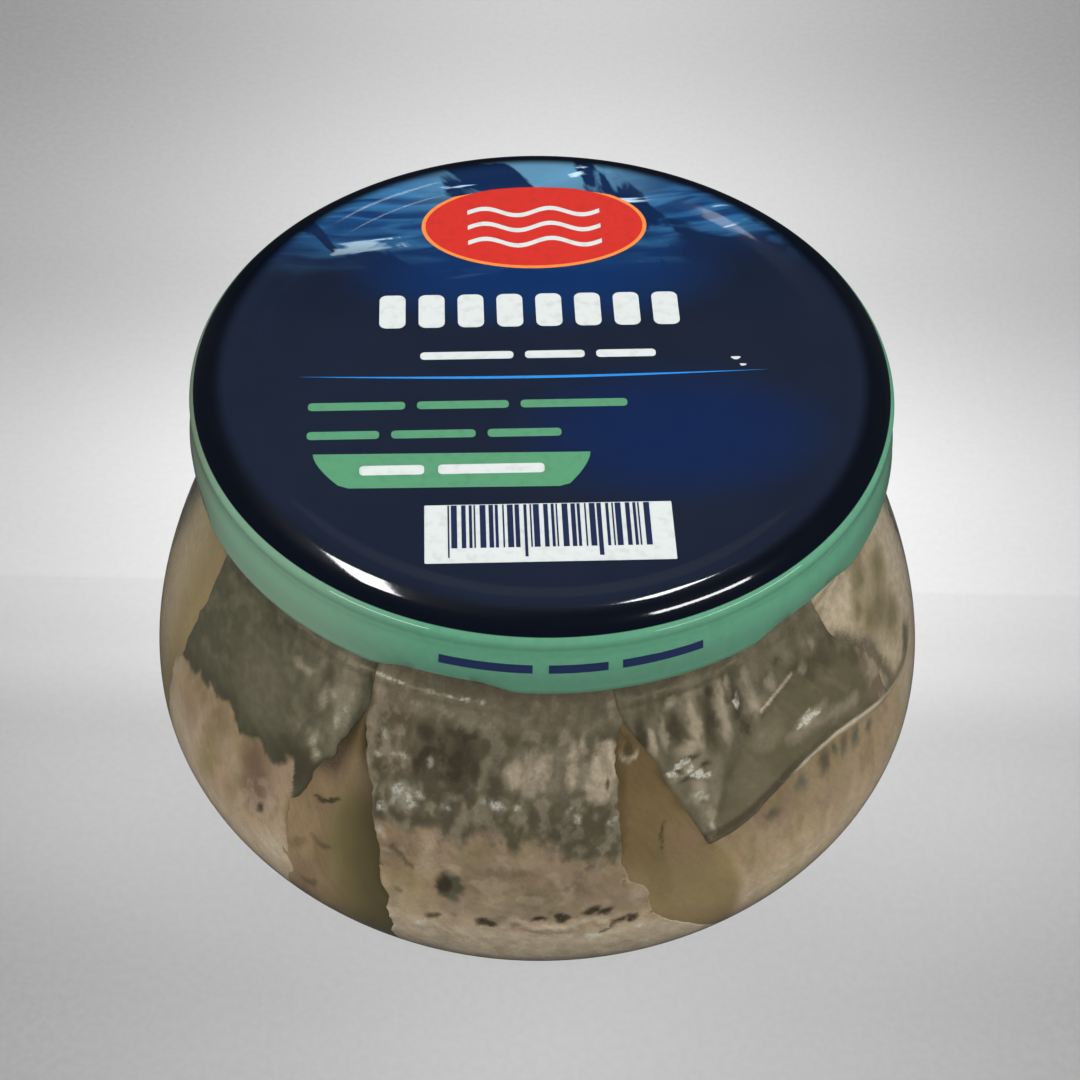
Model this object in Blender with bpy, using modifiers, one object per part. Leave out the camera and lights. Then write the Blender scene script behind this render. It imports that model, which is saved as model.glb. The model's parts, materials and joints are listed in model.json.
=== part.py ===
"""A shut glass jar of herring fillet pieces under a twist-off lid.

Metres, +Z up. The origin is on the jar's axis, on the surface that the jar stands on.
The front is at -Y. An azimuth is counted from the front, positive towards +X.
"""
import math
import random

import bmesh
import bpy
import numpy as np
from mathutils import Vector

MM = 0.001

# Jar
BELLY_RADIUS = 50.7 * MM
BELLY_HEIGHT = 20.5 * MM
HEEL_RADIUS = 30.8 * MM
HEEL_HANDLE = 8.0 * MM
BELLY_HANDLE_LOW = 8.4 * MM
BELLY_HANDLE_HIGH = 12.3 * MM
NECK_RADIUS = 38.1 * MM
NECK_HEIGHT = 56.2 * MM
NECK_HANDLE = 7.66 * MM
NECK_SLOPE = math.radians(62.5)
GLASS = 2.4 * MM
RIM_HEIGHT = 67.3 * MM
RIM_ROUND = 0.8 * MM
MOUTH_RADIUS = 36.0 * MM
FINISH_RADIUS = 38.9 * MM
BEAD_RADIUS = 39.9 * MM
BEAD_HEIGHT = 58.0 * MM
BEAD_HALF = 0.6 * MM
BEAD_BLEND = 1.4 * MM
PUNT_RADIUS = 26.8 * MM
PUNT_RISE = 3.2 * MM
PUNT_KNEE = (0.7, 0.8)
FLOOR_THICKNESS = 3.0 * MM

# Thread ramps on the jar's finish, under which the lid's lugs catch
LUG_COUNT = 6
THREAD_HEIGHT = 62.6 * MM
THREAD_HALF = 0.9 * MM
THREAD_DEPTH = 1.3 * MM
THREAD_RISE = 1.4 * MM
THREAD_SPAN = math.radians(48)
EASE = 2.6

# Lid
SKIRT_FOOT = 58.4 * MM
LID_TOP = 68.5 * MM
CURL_RADIUS = 42.8 * MM
CURL_HEIGHT = 1.5 * MM
CURL_DEPTH = 1.7 * MM

# Outline of the sheet's two sides, as radius and depth below the lid's top in mm: the sunk
# panel, the bead around it, the shoulder and the top of the skirt
LID_OUTSIDE = ((0.0, 1.0), (34.6, 1.0), (36.2, 0.4), (37.1, 0.1), (38.4, 0.0), (40.7, 0.7),
               (42.0, 1.7), (42.1, 2.4), (42.05, 3.1))
LID_INSIDE = ((41.6, 3.2), (41.65, 2.2), (40.5, 1.1), (38.4, 0.45), (36.4, 0.85),
              (34.6, 1.45), (0.0, 1.45))

# Outline of the curl under the skirt, as shares of its depth and height
CURL = ((0.06, 1.0), (0.0, 0.6), (0.25, 0.0), (0.75, 0.0), (1.0, 0.5), (0.75, 1.0))

# Lugs of the curl
FIRST_LUG = math.radians(-14)
LUG_SPAN = math.radians(24)
LUG_LIFT = 1.0 * MM
LUG_REACH = 1.1 * MM

# Fillet pieces. Their clearance from the glass is before rounding, which draws them in by
# a further 0.3 mm
CLEARANCE = 0.1 * MM
SLAB = 8.0 * MM
CORE_DEPTH = 4.2 * MM
CORE_TOP = 60.2 * MM
CORE_NECK = 54.0 * MM
NECK_GAP = 0.9 * MM
NECK_NOTCH = 2.2 * MM
NECK_ENDS = 11
NECK_UNEVEN = 1.2 * MM
CORE_DOME = 3.0 * MM
FILL_TOP = 62.0 * MM
FILL_FOOT = 3.4 * MM
RELIEF = 0.4 * MM
RELIEF_WAVES = (3.1, 2.3)
SIDE_WAVE = 0.04
END_WAVE = 0.05
BACK_SHRINK = 0.1

# Fillet pieces against the front of the glass: azimuth of the middle and width in degrees,
# foot and head in mm above the base, lean of the head in degrees, head width over foot
# width, and how far the piece sits back from its neighbours in mm
FRONT_PIECES = (
    (-84, 32, 18, 54, -2, 1.0, 0.3),
    (-52, 38, 17, 55, 2, 1.0, 0.0),
    (-29, 22, 14, 52, 0, 0.35, 0.8),
    (-1, 41, 15, 55, -6, 1.0, 0.0),
    (24, 21, 14, 52, -12, 0.35, 0.8),
    (24, 16, 30, 54, -2, 1.5, 0.2),
    (46, 36, 31, 55, 2, 1.0, 0.0),
    (54, 52, 15, 37, 0, 1.0, 0.5),
    (78, 40, 28, 55, 0, 1.0, 0.2),
)
BACK_START = 98
BACK_END = 260
BACK_COUNT = 5
BACK_LAP = 1.06
BACK_FOOT = (16, 19)
BACK_HEAD = (54, 55)
BACK_LEAN = 6
BACK_TAPER = (0.9, 1.1)
BACK_DEPTH = (0, 0.4)
FOOT_COUNT = 8
FOOT_LAP = 1.04
FOOT_SHIFT = 0.1
FOOT_HEAD = (18, 20)
FOOT_LEAN = 5
FOOT_DEPTH = 0.3
TOP_COUNT = 4
TOP_REACH = 34.5 * MM
BASE_COUNT = 3
BASE_REACH = 24.0 * MM
BASE_TOP = 8.0 * MM
FLAT_BOW = 0.6 * MM
FLAT_WAVE = 2.2
FLAT_TAPER = 0.12
FLAT_LAP = 1.05
FLAT_GAP = 0.4
FLAT_TURN = 0.08
FLAT_STEP = 0.8 * MM

TURN_STEPS = 60
OUTER_STEPS = 6
INNER_STEPS = 4
CORE_STEPS = 7
MERGE = 0.01 * MM
SLIVER = 0.03 * MM


def clear_scene():
    for old in list(bpy.data.objects):
        bpy.data.objects.remove(old, do_unlink=True)


def new_collection(name):
    collection = bpy.data.collections.new(name)
    bpy.context.scene.collection.children.link(collection)
    return collection


def principled(name, colour, roughness, metallic=0.0, transmission=0.0):
    material = bpy.data.materials.new(name)
    material.use_nodes = True
    shader = material.node_tree.nodes["Principled BSDF"]
    shader.inputs["Base Color"].default_value = (*colour, 1.0)
    shader.inputs["Roughness"].default_value = roughness
    shader.inputs["Metallic"].default_value = metallic
    shader.inputs["Transmission Weight"].default_value = transmission
    material.diffuse_color = (*colour, 1.0)
    return material


def bezier(start, handle_a, handle_b, end, pieces):
    """Points along a cubic curve, both ends included."""
    points = []
    for step in range(pieces + 1):
        t = step / pieces
        s = 1 - t
        weights = (s ** 3, 3 * s * s * t, 3 * s * t * t, t ** 3)
        corners = (start, handle_a, handle_b, end)
        x = sum(w * c[0] for w, c in zip(weights, corners))
        z = sum(w * c[1] for w, c in zip(weights, corners))
        points.append((x, z))
    return points


def offset(points, distance):
    """The open outline moved to its right-hand side, seen in the direction it runs."""
    moved = []
    for index, (x, z) in enumerate(points):
        before = points[max(index - 1, 0)]
        after = points[min(index + 1, len(points) - 1)]
        run = Vector((after[0] - before[0], after[1] - before[1])).normalized()
        moved.append((x + run.y * distance, z - run.x * distance))
    return moved


def mesh_object(name, mesh, material, collection):
    obj = bpy.data.objects.new(name, mesh)
    collection.objects.link(obj)
    mesh.materials.append(material)
    return obj


def turned(name, profile, material, collection):
    """A solid of revolution: the profile's outer side runs from top to bottom."""
    mesh = bpy.data.meshes.new(name)
    edges = [(i, i + 1) for i in range(len(profile) - 1)]
    mesh.from_pydata([(x, 0.0, z) for x, z in profile], edges, [])
    obj = mesh_object(name, mesh, material, collection)
    screw = obj.modifiers.new("turn", 'SCREW')
    screw.axis = 'Z'
    screw.steps = TURN_STEPS
    screw.render_steps = TURN_STEPS
    screw.use_merge_vertices = True
    screw.merge_threshold = MERGE
    return obj


def apply_modifiers(obj):
    """Swap the object's mesh for the one that its modifiers make."""
    depsgraph = bpy.context.evaluated_depsgraph_get()
    made = bpy.data.meshes.new_from_object(obj.evaluated_get(depsgraph))
    obj.modifiers.clear()
    old = obj.data
    obj.data = made
    bpy.data.meshes.remove(old)
    return obj


def smooth(obj, angle=40):
    obj.data.shade_smooth()
    obj.data.set_sharp_from_angle(angle=math.radians(angle))


def azimuth_of(point):
    return math.atan2(point.x, -point.y)


def place(azimuth, radius, height):
    return Vector((radius * math.sin(azimuth), -radius * math.cos(azimuth), height))


def bump(azimuth, first, span):
    """1 in the middle of each lug or ramp and 0 between them, and the angle from its middle."""
    pitch = 2 * math.pi / LUG_COUNT
    away = (azimuth - first + pitch / 2) % pitch - pitch / 2
    rise = min(max((span / 2 - abs(away)) / (span / EASE), 0.0), 1.0)
    return rise * rise * (3 - 2 * rise), away


# Jar


def outer_wall(pieces):
    """The belly's outside from the neck down to the heel."""
    neck = (NECK_RADIUS, NECK_HEIGHT)
    belly = (BELLY_RADIUS, BELLY_HEIGHT)
    slope_x = NECK_HANDLE * math.cos(NECK_SLOPE)
    slope_z = NECK_HANDLE * math.sin(NECK_SLOPE)
    upper = bezier(neck, (neck[0] + slope_x, neck[1] - slope_z),
                   (belly[0], belly[1] + BELLY_HANDLE_HIGH), belly, pieces)
    lower = bezier(belly, (belly[0], belly[1] - BELLY_HANDLE_LOW),
                   (HEEL_RADIUS + HEEL_HANDLE, 0.0), (HEEL_RADIUS, 0.0), pieces)
    return upper + lower[1:]


def inner_wall():
    """The belly's inside, from the neck down to the edge of the floor."""
    return [(MOUTH_RADIUS, NECK_HEIGHT + 2 * GLASS)] + offset(outer_wall(INNER_STEPS), GLASS)


def jar_profile():
    knee = (PUNT_RADIUS * PUNT_KNEE[0], PUNT_RISE * PUNT_KNEE[1])
    floor = [(knee[0], knee[1] + FLOOR_THICKNESS), (0.0, PUNT_RISE + FLOOR_THICKNESS)]
    inside = inner_wall()
    finish = [
        (MOUTH_RADIUS, RIM_HEIGHT - RIM_ROUND),
        (MOUTH_RADIUS + RIM_ROUND, RIM_HEIGHT),
        (FINISH_RADIUS - RIM_ROUND, RIM_HEIGHT),
        (FINISH_RADIUS, RIM_HEIGHT - RIM_ROUND),
        (FINISH_RADIUS, THREAD_HEIGHT + THREAD_HALF),
        (FINISH_RADIUS, THREAD_HEIGHT),
        (FINISH_RADIUS, THREAD_HEIGHT - THREAD_HALF),
        (FINISH_RADIUS, BEAD_HEIGHT + BEAD_BLEND),
        (BEAD_RADIUS, BEAD_HEIGHT + BEAD_HALF),
        (BEAD_RADIUS, BEAD_HEIGHT - BEAD_HALF),
    ]
    base = [(PUNT_RADIUS, 0.0), knee, (0.0, PUNT_RISE)]
    return floor[::-1] + inside[::-1] + finish + outer_wall(OUTER_STEPS) + base


def build_jar(collection):
    glass = principled("glass", (0.86, 0.88, 0.84), 0.03, transmission=1.0)
    jar = apply_modifiers(turned("jar", jar_profile(), glass, collection))
    for vertex in jar.data.vertices:
        radius = math.hypot(vertex.co.x, vertex.co.y)
        on_thread = abs(vertex.co.z - THREAD_HEIGHT) < THREAD_HALF * 1.01
        if radius > FINISH_RADIUS - RIM_ROUND and on_thread:
            azimuth = azimuth_of(vertex.co)
            rise, away = bump(azimuth, FIRST_LUG, THREAD_SPAN)
            crest = 1.0 if abs(vertex.co.z - THREAD_HEIGHT) < THREAD_HALF / 2 else 0.0
            height = vertex.co.z + THREAD_RISE * rise * away / THREAD_SPAN
            vertex.co = place(azimuth, radius + THREAD_DEPTH * rise * crest, height)
    smooth(jar)


# Lid


def lid_profile():
    """The pressed sheet: panel, bead, shoulder, skirt and curl, then back up inside."""
    outside = [(radius * MM, LID_TOP - drop * MM) for radius, drop in LID_OUTSIDE]
    curl = [(CURL_RADIUS - share * CURL_DEPTH, SKIRT_FOOT + rise * CURL_HEIGHT) for share, rise in CURL]
    inside = [(radius * MM, LID_TOP - drop * MM) for radius, drop in LID_INSIDE]
    return outside + curl + inside


def build_lid(collection):
    paint = principled("lid_paint", (0.012, 0.022, 0.05), 0.25, metallic=0.0)
    lid = apply_modifiers(turned("lid", lid_profile(), paint, collection))
    curl_top = SKIRT_FOOT + CURL_HEIGHT * 1.1
    for vertex in lid.data.vertices:
        if vertex.co.z < curl_top:
            azimuth = azimuth_of(vertex.co)
            radius = math.hypot(vertex.co.x, vertex.co.y)
            rise, _ = bump(azimuth, FIRST_LUG, LUG_SPAN)
            low = min(max((curl_top - vertex.co.z) / CURL_HEIGHT, 0.0), 1.0)
            vertex.co = place(azimuth, radius - LUG_REACH * rise * low,
                              vertex.co.z + LUG_LIFT * rise * low)
    smooth(lid)


# Fillet pieces


class Wall:
    """The jar's inside as a track: a height on it and a depth behind it give a point."""

    def __init__(self):
        points = inner_wall()[::-1]
        self.radius = np.array([p[0] for p in points])
        self.height = np.array([p[1] for p in points])
        run_r = np.gradient(self.radius)
        run_z = np.gradient(self.height)
        length = np.hypot(run_r, run_z)
        self.normal_r = -run_z / length
        self.normal_z = run_r / length

    def point(self, azimuth, height, depth):
        radius = np.interp(height, self.height, self.radius)
        normal_r = np.interp(height, self.height, self.normal_r)
        normal_z = np.interp(height, self.height, self.normal_z)
        scale = depth / math.hypot(normal_r, normal_z)
        return place(azimuth, radius + normal_r * scale, height + normal_z * scale)


def soft_slab(name, cells, shape, material, collection):
    """A rounded slab: shape gives a point for u and v across it and w = 1 front, 0 back."""
    slab = bmesh.new()
    bmesh.ops.create_grid(slab, x_segments=cells[0], y_segments=cells[1], size=1.0)
    result = bmesh.ops.extrude_face_region(slab, geom=list(slab.faces))
    for item in result["geom"]:
        if isinstance(item, bmesh.types.BMVert):
            item.co.z = 1.0
    for vertex in slab.verts:
        vertex.co = shape(vertex.co.x, vertex.co.y, vertex.co.z)
    bmesh.ops.recalc_face_normals(slab, faces=slab.faces)
    mesh = bpy.data.meshes.new(name)
    slab.to_mesh(mesh)
    slab.free()
    obj = mesh_object(name, mesh, material, collection)
    rounding = obj.modifiers.new("round", 'SUBSURF')
    rounding.levels = 1
    rounding.render_levels = 1
    return apply_modifiers(obj)


def wall_piece(name, wall, placing, cells, rng, material, collection):
    """One fillet piece pressed against the glass."""
    middle, width, foot, head, lean, taper, back = placing
    phase = rng.uniform(0, 2 * math.pi)

    def shape(u, v, w):
        share = 1 + (taper - 1) * (v + 1) / 2
        edge = SIDE_WAVE * math.sin(5 * v + phase)
        azimuth = middle + lean * (v + 1) / 2 + (u + edge) * share * width / 2
        rise = v + END_WAVE * math.sin(4 * u + phase)
        rise *= 1 - BACK_SHRINK * (1 - w)
        height = (foot + head) / 2 + rise * (head - foot) / 2
        wave = 0.5 + 0.5 * math.sin(RELIEF_WAVES[0] * u + RELIEF_WAVES[1] * v + phase)
        depth = CLEARANCE + back * MM + RELIEF * wave + SLAB * (1 - w)
        return wall.point(math.radians(azimuth), height * MM, depth)

    return soft_slab(name, cells, shape, material, collection)


def flat_piece(name, offset_y, turn, reach, width, face_height, facing, material, collection):
    """One fillet piece that lies flat across the jar, as long as the round allows."""
    half = math.sqrt(reach ** 2 - (abs(offset_y) + width / 2) ** 2)

    def shape(u, v, w):
        x = u * half
        y = offset_y + v * width / 2 * (1 - FLAT_TAPER * u)
        bow = FLAT_BOW * (math.cos(FLAT_WAVE * u + offset_y / MM) - v * v)
        z = face_height + facing * (bow - SLAB * (1 - w))
        return Vector((x * math.cos(turn) - y * math.sin(turn),
                       x * math.sin(turn) + y * math.cos(turn), z))

    return soft_slab(name, (4, 2), shape, material, collection)


def core_profile(wall):
    """The middle of the heap: a little in from where its pieces show, full in the neck."""
    neck = MOUTH_RADIUS - NECK_GAP
    top = [(0.0, CORE_TOP), (neck - 2 * MM, CORE_TOP), (neck, CORE_TOP - 2 * MM), (neck, CORE_NECK)]
    side = []
    for height in np.linspace(CORE_NECK - 2 * MM, FILL_FOOT, CORE_STEPS):
        point = wall.point(0.0, height, CORE_DEPTH)
        side.append((abs(point.y), point.z))
    foot = side[-1][1]
    return top + side + [(0.0, foot + CORE_DOME)]


def notch_neck(core):
    """Dents between the ends of the fillet pieces that stand up into the neck."""
    for vertex in core.data.vertices:
        radius = math.hypot(vertex.co.x, vertex.co.y)
        if vertex.co.z >= CORE_NECK - MERGE and radius > MOUTH_RADIUS / 2:
            azimuth = azimuth_of(vertex.co)
            wave = 0.5 + 0.5 * math.sin(NECK_ENDS * azimuth + 1.5 * math.sin(2 * azimuth))
            uneven = NECK_UNEVEN * math.sin(3 * azimuth)
            height = vertex.co.z
            if height > CORE_NECK + MERGE:
                height += uneven * wave
            vertex.co = place(azimuth, radius - NECK_NOTCH * wave ** 3, height)


def build_heap(collection):
    flesh = principled("herring", (0.33, 0.26, 0.18), 0.45)
    rng = random.Random(7)
    wall = Wall()
    pieces = new_collection("heap_pieces")
    core = apply_modifiers(turned("herring_pieces", core_profile(wall), flesh, collection))
    notch_neck(core)

    placings = list(FRONT_PIECES)
    step = (BACK_END - BACK_START) / BACK_COUNT
    for index in range(BACK_COUNT):
        middle = BACK_START + step * (index + 0.5)
        placings.append((middle, step * BACK_LAP, rng.uniform(*BACK_FOOT), rng.uniform(*BACK_HEAD),
                         rng.uniform(-BACK_LEAN, BACK_LEAN), rng.uniform(*BACK_TAPER),
                         rng.uniform(*BACK_DEPTH)))
    for index, placing in enumerate(placings):
        wall_piece(f"wall_{index}", wall, placing, (4, 4), rng, flesh, pieces)

    foot_step = 360 / FOOT_COUNT
    for index in range(FOOT_COUNT):
        middle = foot_step * (index + rng.uniform(-FOOT_SHIFT, FOOT_SHIFT))
        placing = (middle, foot_step * FOOT_LAP, FILL_FOOT / MM, rng.uniform(*FOOT_HEAD),
                   rng.uniform(-FOOT_LEAN, FOOT_LEAN), 1.0, FOOT_DEPTH)
        wall_piece(f"foot_{index}", wall, placing, (3, 2), rng, flesh, pieces)

    rows = (
        ("top", TOP_COUNT, TOP_REACH, FILL_TOP, 1, math.radians(25)),
        ("base", BASE_COUNT, BASE_REACH, BASE_TOP, -1, math.radians(-40)),
    )
    for name, count, reach, face_height, facing, turn in rows:
        width = 2 * reach / (count + FLAT_GAP)
        for index in range(count):
            offset_y = width * (index - (count - 1) / 2)
            face = face_height + rng.uniform(0, FLAT_STEP) * facing
            lie = turn + rng.uniform(-FLAT_TURN, FLAT_TURN)
            flat_piece(f"{name}_{index}", offset_y, lie, reach, width * FLAT_LAP, face, facing,
                       flesh, pieces)

    union = core.modifiers.new("join", 'BOOLEAN')
    union.operation = 'UNION'
    union.operand_type = 'COLLECTION'
    union.collection = pieces
    apply_modifiers(core)
    for piece in list(pieces.objects):
        bpy.data.objects.remove(piece, do_unlink=True)
    bpy.data.collections.remove(pieces)
    keep_outer_shell(core)
    smooth(core, 50)


def keep_outer_shell(obj):
    """Drop slivers, loose scraps and the walls of sealed hollows: the largest shell stays."""
    data = bmesh.new()
    data.from_mesh(obj.data)
    bmesh.ops.triangulate(data, faces=data.faces)
    bmesh.ops.dissolve_degenerate(data, dist=SLIVER, edges=data.edges)
    bmesh.ops.triangulate(data, faces=data.faces)
    seen = set()
    shells = []
    for face in data.faces:
        if face in seen:
            continue
        shell = []
        waiting = [face]
        seen.add(face)
        while waiting:
            current = waiting.pop()
            shell.append(current)
            for edge in current.edges:
                for neighbour in edge.link_faces:
                    if neighbour not in seen:
                        seen.add(neighbour)
                        waiting.append(neighbour)
        shells.append(shell)
    largest = max(shells, key=len)
    for shell in shells:
        if shell is not largest:
            bmesh.ops.delete(data, geom=shell, context='FACES')
    loose = [vertex for vertex in data.verts if not vertex.link_faces]
    bmesh.ops.delete(data, geom=loose, context='VERTS')
    data.to_mesh(obj.data)
    data.free()


def main():
    clear_scene()
    collection = new_collection("herring_jar")
    build_jar(collection)
    build_lid(collection)
    build_heap(collection)


main()
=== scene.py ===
"""A shut glass jar of herring fillet pieces in oil, under a printed twist-off lid.

Metres, +Z up. The origin is on the jar's axis, on the surface that the jar stands on.
The front is at -Y. An azimuth is counted from the front, positive towards +X.
"""
import json
import math

import bmesh
import bpy
import numpy as np
from mathutils import Matrix, Quaternion, Vector

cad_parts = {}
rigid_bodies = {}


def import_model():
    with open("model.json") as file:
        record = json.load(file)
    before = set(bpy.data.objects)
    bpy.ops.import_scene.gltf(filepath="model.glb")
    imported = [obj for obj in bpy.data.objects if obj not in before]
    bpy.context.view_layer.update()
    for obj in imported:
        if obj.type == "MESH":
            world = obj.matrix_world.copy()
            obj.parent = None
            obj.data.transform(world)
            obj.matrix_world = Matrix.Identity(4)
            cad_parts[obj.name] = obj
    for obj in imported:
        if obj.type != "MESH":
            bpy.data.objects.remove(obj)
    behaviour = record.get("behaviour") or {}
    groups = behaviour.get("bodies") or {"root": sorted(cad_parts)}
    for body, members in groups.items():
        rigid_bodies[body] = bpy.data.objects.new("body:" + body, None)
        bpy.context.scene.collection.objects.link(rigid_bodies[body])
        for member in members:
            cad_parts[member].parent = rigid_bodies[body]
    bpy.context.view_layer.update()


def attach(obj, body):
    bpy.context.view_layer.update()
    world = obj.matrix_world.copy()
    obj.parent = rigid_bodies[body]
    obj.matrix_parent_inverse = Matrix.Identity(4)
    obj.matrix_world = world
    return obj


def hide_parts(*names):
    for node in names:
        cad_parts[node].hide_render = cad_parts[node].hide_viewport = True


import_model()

MM = 0.001

# Camera
CAMERA_PLACE = Vector((0.0, -191.34, 246.42)) * MM
CAMERA_AIM = Vector((0.11, -10.45, 48.52)) * MM
CAMERA_ROLL = math.radians(1.13)
CAMERA_LENS = 72.68
CAMERA_SENSOR = 36.0

# Height in metres at which the lamps aim
LAMP_AIM = 0.04

# Jar
BELLY_RADIUS = 50.7
BELLY_HEIGHT = 20.5
HEEL_RADIUS = 30.8
HEEL_HANDLE = 8.0
BELLY_HANDLE_LOW = 8.4
BELLY_HANDLE_HIGH = 12.3
NECK_RADIUS = 38.1
NECK_HEIGHT = 56.2
NECK_HANDLE = 7.66
NECK_SLOPE = math.radians(62.5)
GLASS = 2.4
RIM_HEIGHT = 67.3
RIM_ROUND = 0.8
MOUTH_RADIUS = 36.0
FINISH_RADIUS = 38.9
BEAD_RADIUS = 39.9
BEAD_HEIGHT = 58.0
PUNT_RADIUS = 26.8
PUNT_RISE = 3.2
PUNT_EDGE = 27.5
PUNT_LIMIT = 4.0
FLOOR_THICKNESS = 3.0
THREAD_HEIGHT = 62.6
THREAD_HALF = 0.9
THREAD_DEPTH = 1.3
THREAD_RISE = 1.4
THREAD_SPAN = math.radians(48)

# Lid
SKIRT_TOP = (42.3, 63.0)
SKIRT_SLOPE = 0.1875
SKIRT_FOOT = 58.4
CURL_TOP = 60.1
LID_TOP = 68.5
PANEL_HEIGHT = 67.5
TIN = 0.45
PRINT_EDGE = 67.1
LUG_COUNT = 6
FIRST_LUG = math.radians(-14)
LUG_SPAN = math.radians(24)
LUG_LIFT = 1.0
LUG_REACH = 1.1
PRINT_TURN = 0.0527

# The print's inks, and its marks in mm on the panel
INKS = {"white": (184, 189, 187), "green": (73, 128, 95), "sky": (36, 118, 190),
        "red": (176, 36, 27), "orange": (210, 120, 54), "navy": (22, 32, 62)}
TITLE_WIDTH = 3.2
TITLE_STEP = 4.8
BADGE_SIZE = (14.4, 8.4)
BADGE_MIDDLE = 26.8
STRIPE_FOOT = -28.8
STRIPE_LONG_FOOT = -30.2
STRIPE_HEAD = -22.3

# Fineness of the meshes, as steps round the axis and along an outline
JAR_STEPS = 256
LID_STEPS = 384
CORE_STEPS = 240
WALL_STEPS = 40
JAR_FLOOR_STEPS = 16
SHARP_ANGLE = math.radians(50)

# Contents
OIL_BITE = 0.15
OIL_TOP = 61.0
CORE_DEPTH = 4.6
DEGREE = math.radians(1) * 47.0
CONTENTS_TONE = 0.85
FLOOR_BOUNCE = 0.20
SAG = 0.7
BACK_START = 96
BACK_END = 260
BACK_COUNT = 5
BACK_LEANS = (1, -5, 4, -3, 5, -4)
BACK_LAP = 1.3
FOOT_COUNT = 8

BACK_STEP = (BACK_END - BACK_START) / BACK_COUNT

# Where the pieces stand and end, as (share of width, height)
FLOOR_LINE = ((0, 7.6), (0.4, 6.8), (1, 7.4))
TOP_LINE = ((0, 54.5), (1, 54.5))

# Rings behind a piece's front, as (share of its thickness, share of the way to its middle)
BACK_RINGS = ((0.5, 0.0), (1.0, 0.05), (1.25, 0.5))

# The line along which the smooth pieces end over the flesh, as (azimuth, height)
LOWER_EDGE = ((26, 30.7), (28, 30.8), (32, 31.3), (36, 32.4), (40, 33.5), (44, 34.2), (48, 34.4),
              (52, 34.2), (56, 33.4), (60, 32.2), (64, 30.9), (68, 29.8), (72, 28.8), (76, 28.3),
              (79, 28.6), (82, 29.8), (96, 31.0))

# The right end of the folded piece, as (height, azimuth)
FOLD_END = ((27, 67), (31, 66.4), (33, 66.2), (35, 66), (37.5, 65.5), (40.3, 63.6), (43.5, 59.4),
            (46.5, 57.2), (49, 56.6), (54, 55.6))

# What is painted on a fillet piece, one amount for each point; shade is painted shade, silver is silver skin
# with painted glints, and pale is partly painted light
MASKS = ("skin", "olive", "warm", "pink", "pale", "dark", "silver", "shade")


def srgb(red, green, blue):
    """A colour given in 0 to 255 as the renderer's linear values."""
    values = []
    for channel in (red, green, blue):
        part = channel / 255
        values.append(part / 12.92 if part <= 0.04045 else ((part + 0.055) / 1.055) ** 2.4)
    return (*values, 1.0)


def smoothstep(value, low, high):
    """From 0 at low to 1 at high, with soft ends."""
    part = np.clip((value - low) / (high - low), 0.0, 1.0)
    return part * part * (3 - 2 * part)


# Camera, floor and light


def make_camera():
    """A close view from in front and well above."""
    camera = bpy.data.objects.new("camera", bpy.data.cameras.new("camera"))
    bpy.context.scene.collection.objects.link(camera)
    camera.data.lens = CAMERA_LENS
    camera.data.sensor_width = CAMERA_SENSOR
    camera.data.clip_start = 0.01
    forward = (CAMERA_AIM - CAMERA_PLACE).normalized()
    right = forward.cross(Vector((0, 0, 1))).normalized()
    up = right.cross(forward)
    turn = Matrix.Rotation(CAMERA_ROLL, 3, -forward)
    matrix = Matrix((turn @ right, turn @ up, -forward)).transposed().to_4x4()
    matrix.translation = CAMERA_PLACE
    camera.matrix_world = matrix
    bpy.context.scene.camera = camera


def softbox(name, azimuth, elevation, distance, size, power, roll=0.0, lit=None):
    """A soft studio light that faces the jar.

    It lights all and isn't mirrored, or is mirrored and lights only the collection lit.
    """
    light = bpy.data.lights.new(name, 'AREA')
    light.shape = 'RECTANGLE'
    light.size = size[0]
    light.size_y = size[1]
    light.energy = power
    lamp = bpy.data.objects.new(name, light)
    lamp.visible_transmission = False
    lamp.visible_glossy = lit is not None
    if lit:
        lamp.light_linking.receiver_collection = lit
    bpy.context.scene.collection.objects.link(lamp)
    across = math.cos(math.radians(elevation)) * distance
    lamp.location = (across * math.sin(math.radians(azimuth)),
                     -across * math.cos(math.radians(azimuth)),
                     math.sin(math.radians(elevation)) * distance + LAMP_AIM)
    aim = Vector((0, 0, LAMP_AIM)) - lamp.location
    turn = Quaternion((0, 0, 1), math.radians(roll))
    lamp.rotation_euler = (aim.to_track_quat('-Z', 'Y') @ turn).to_euler()


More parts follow.
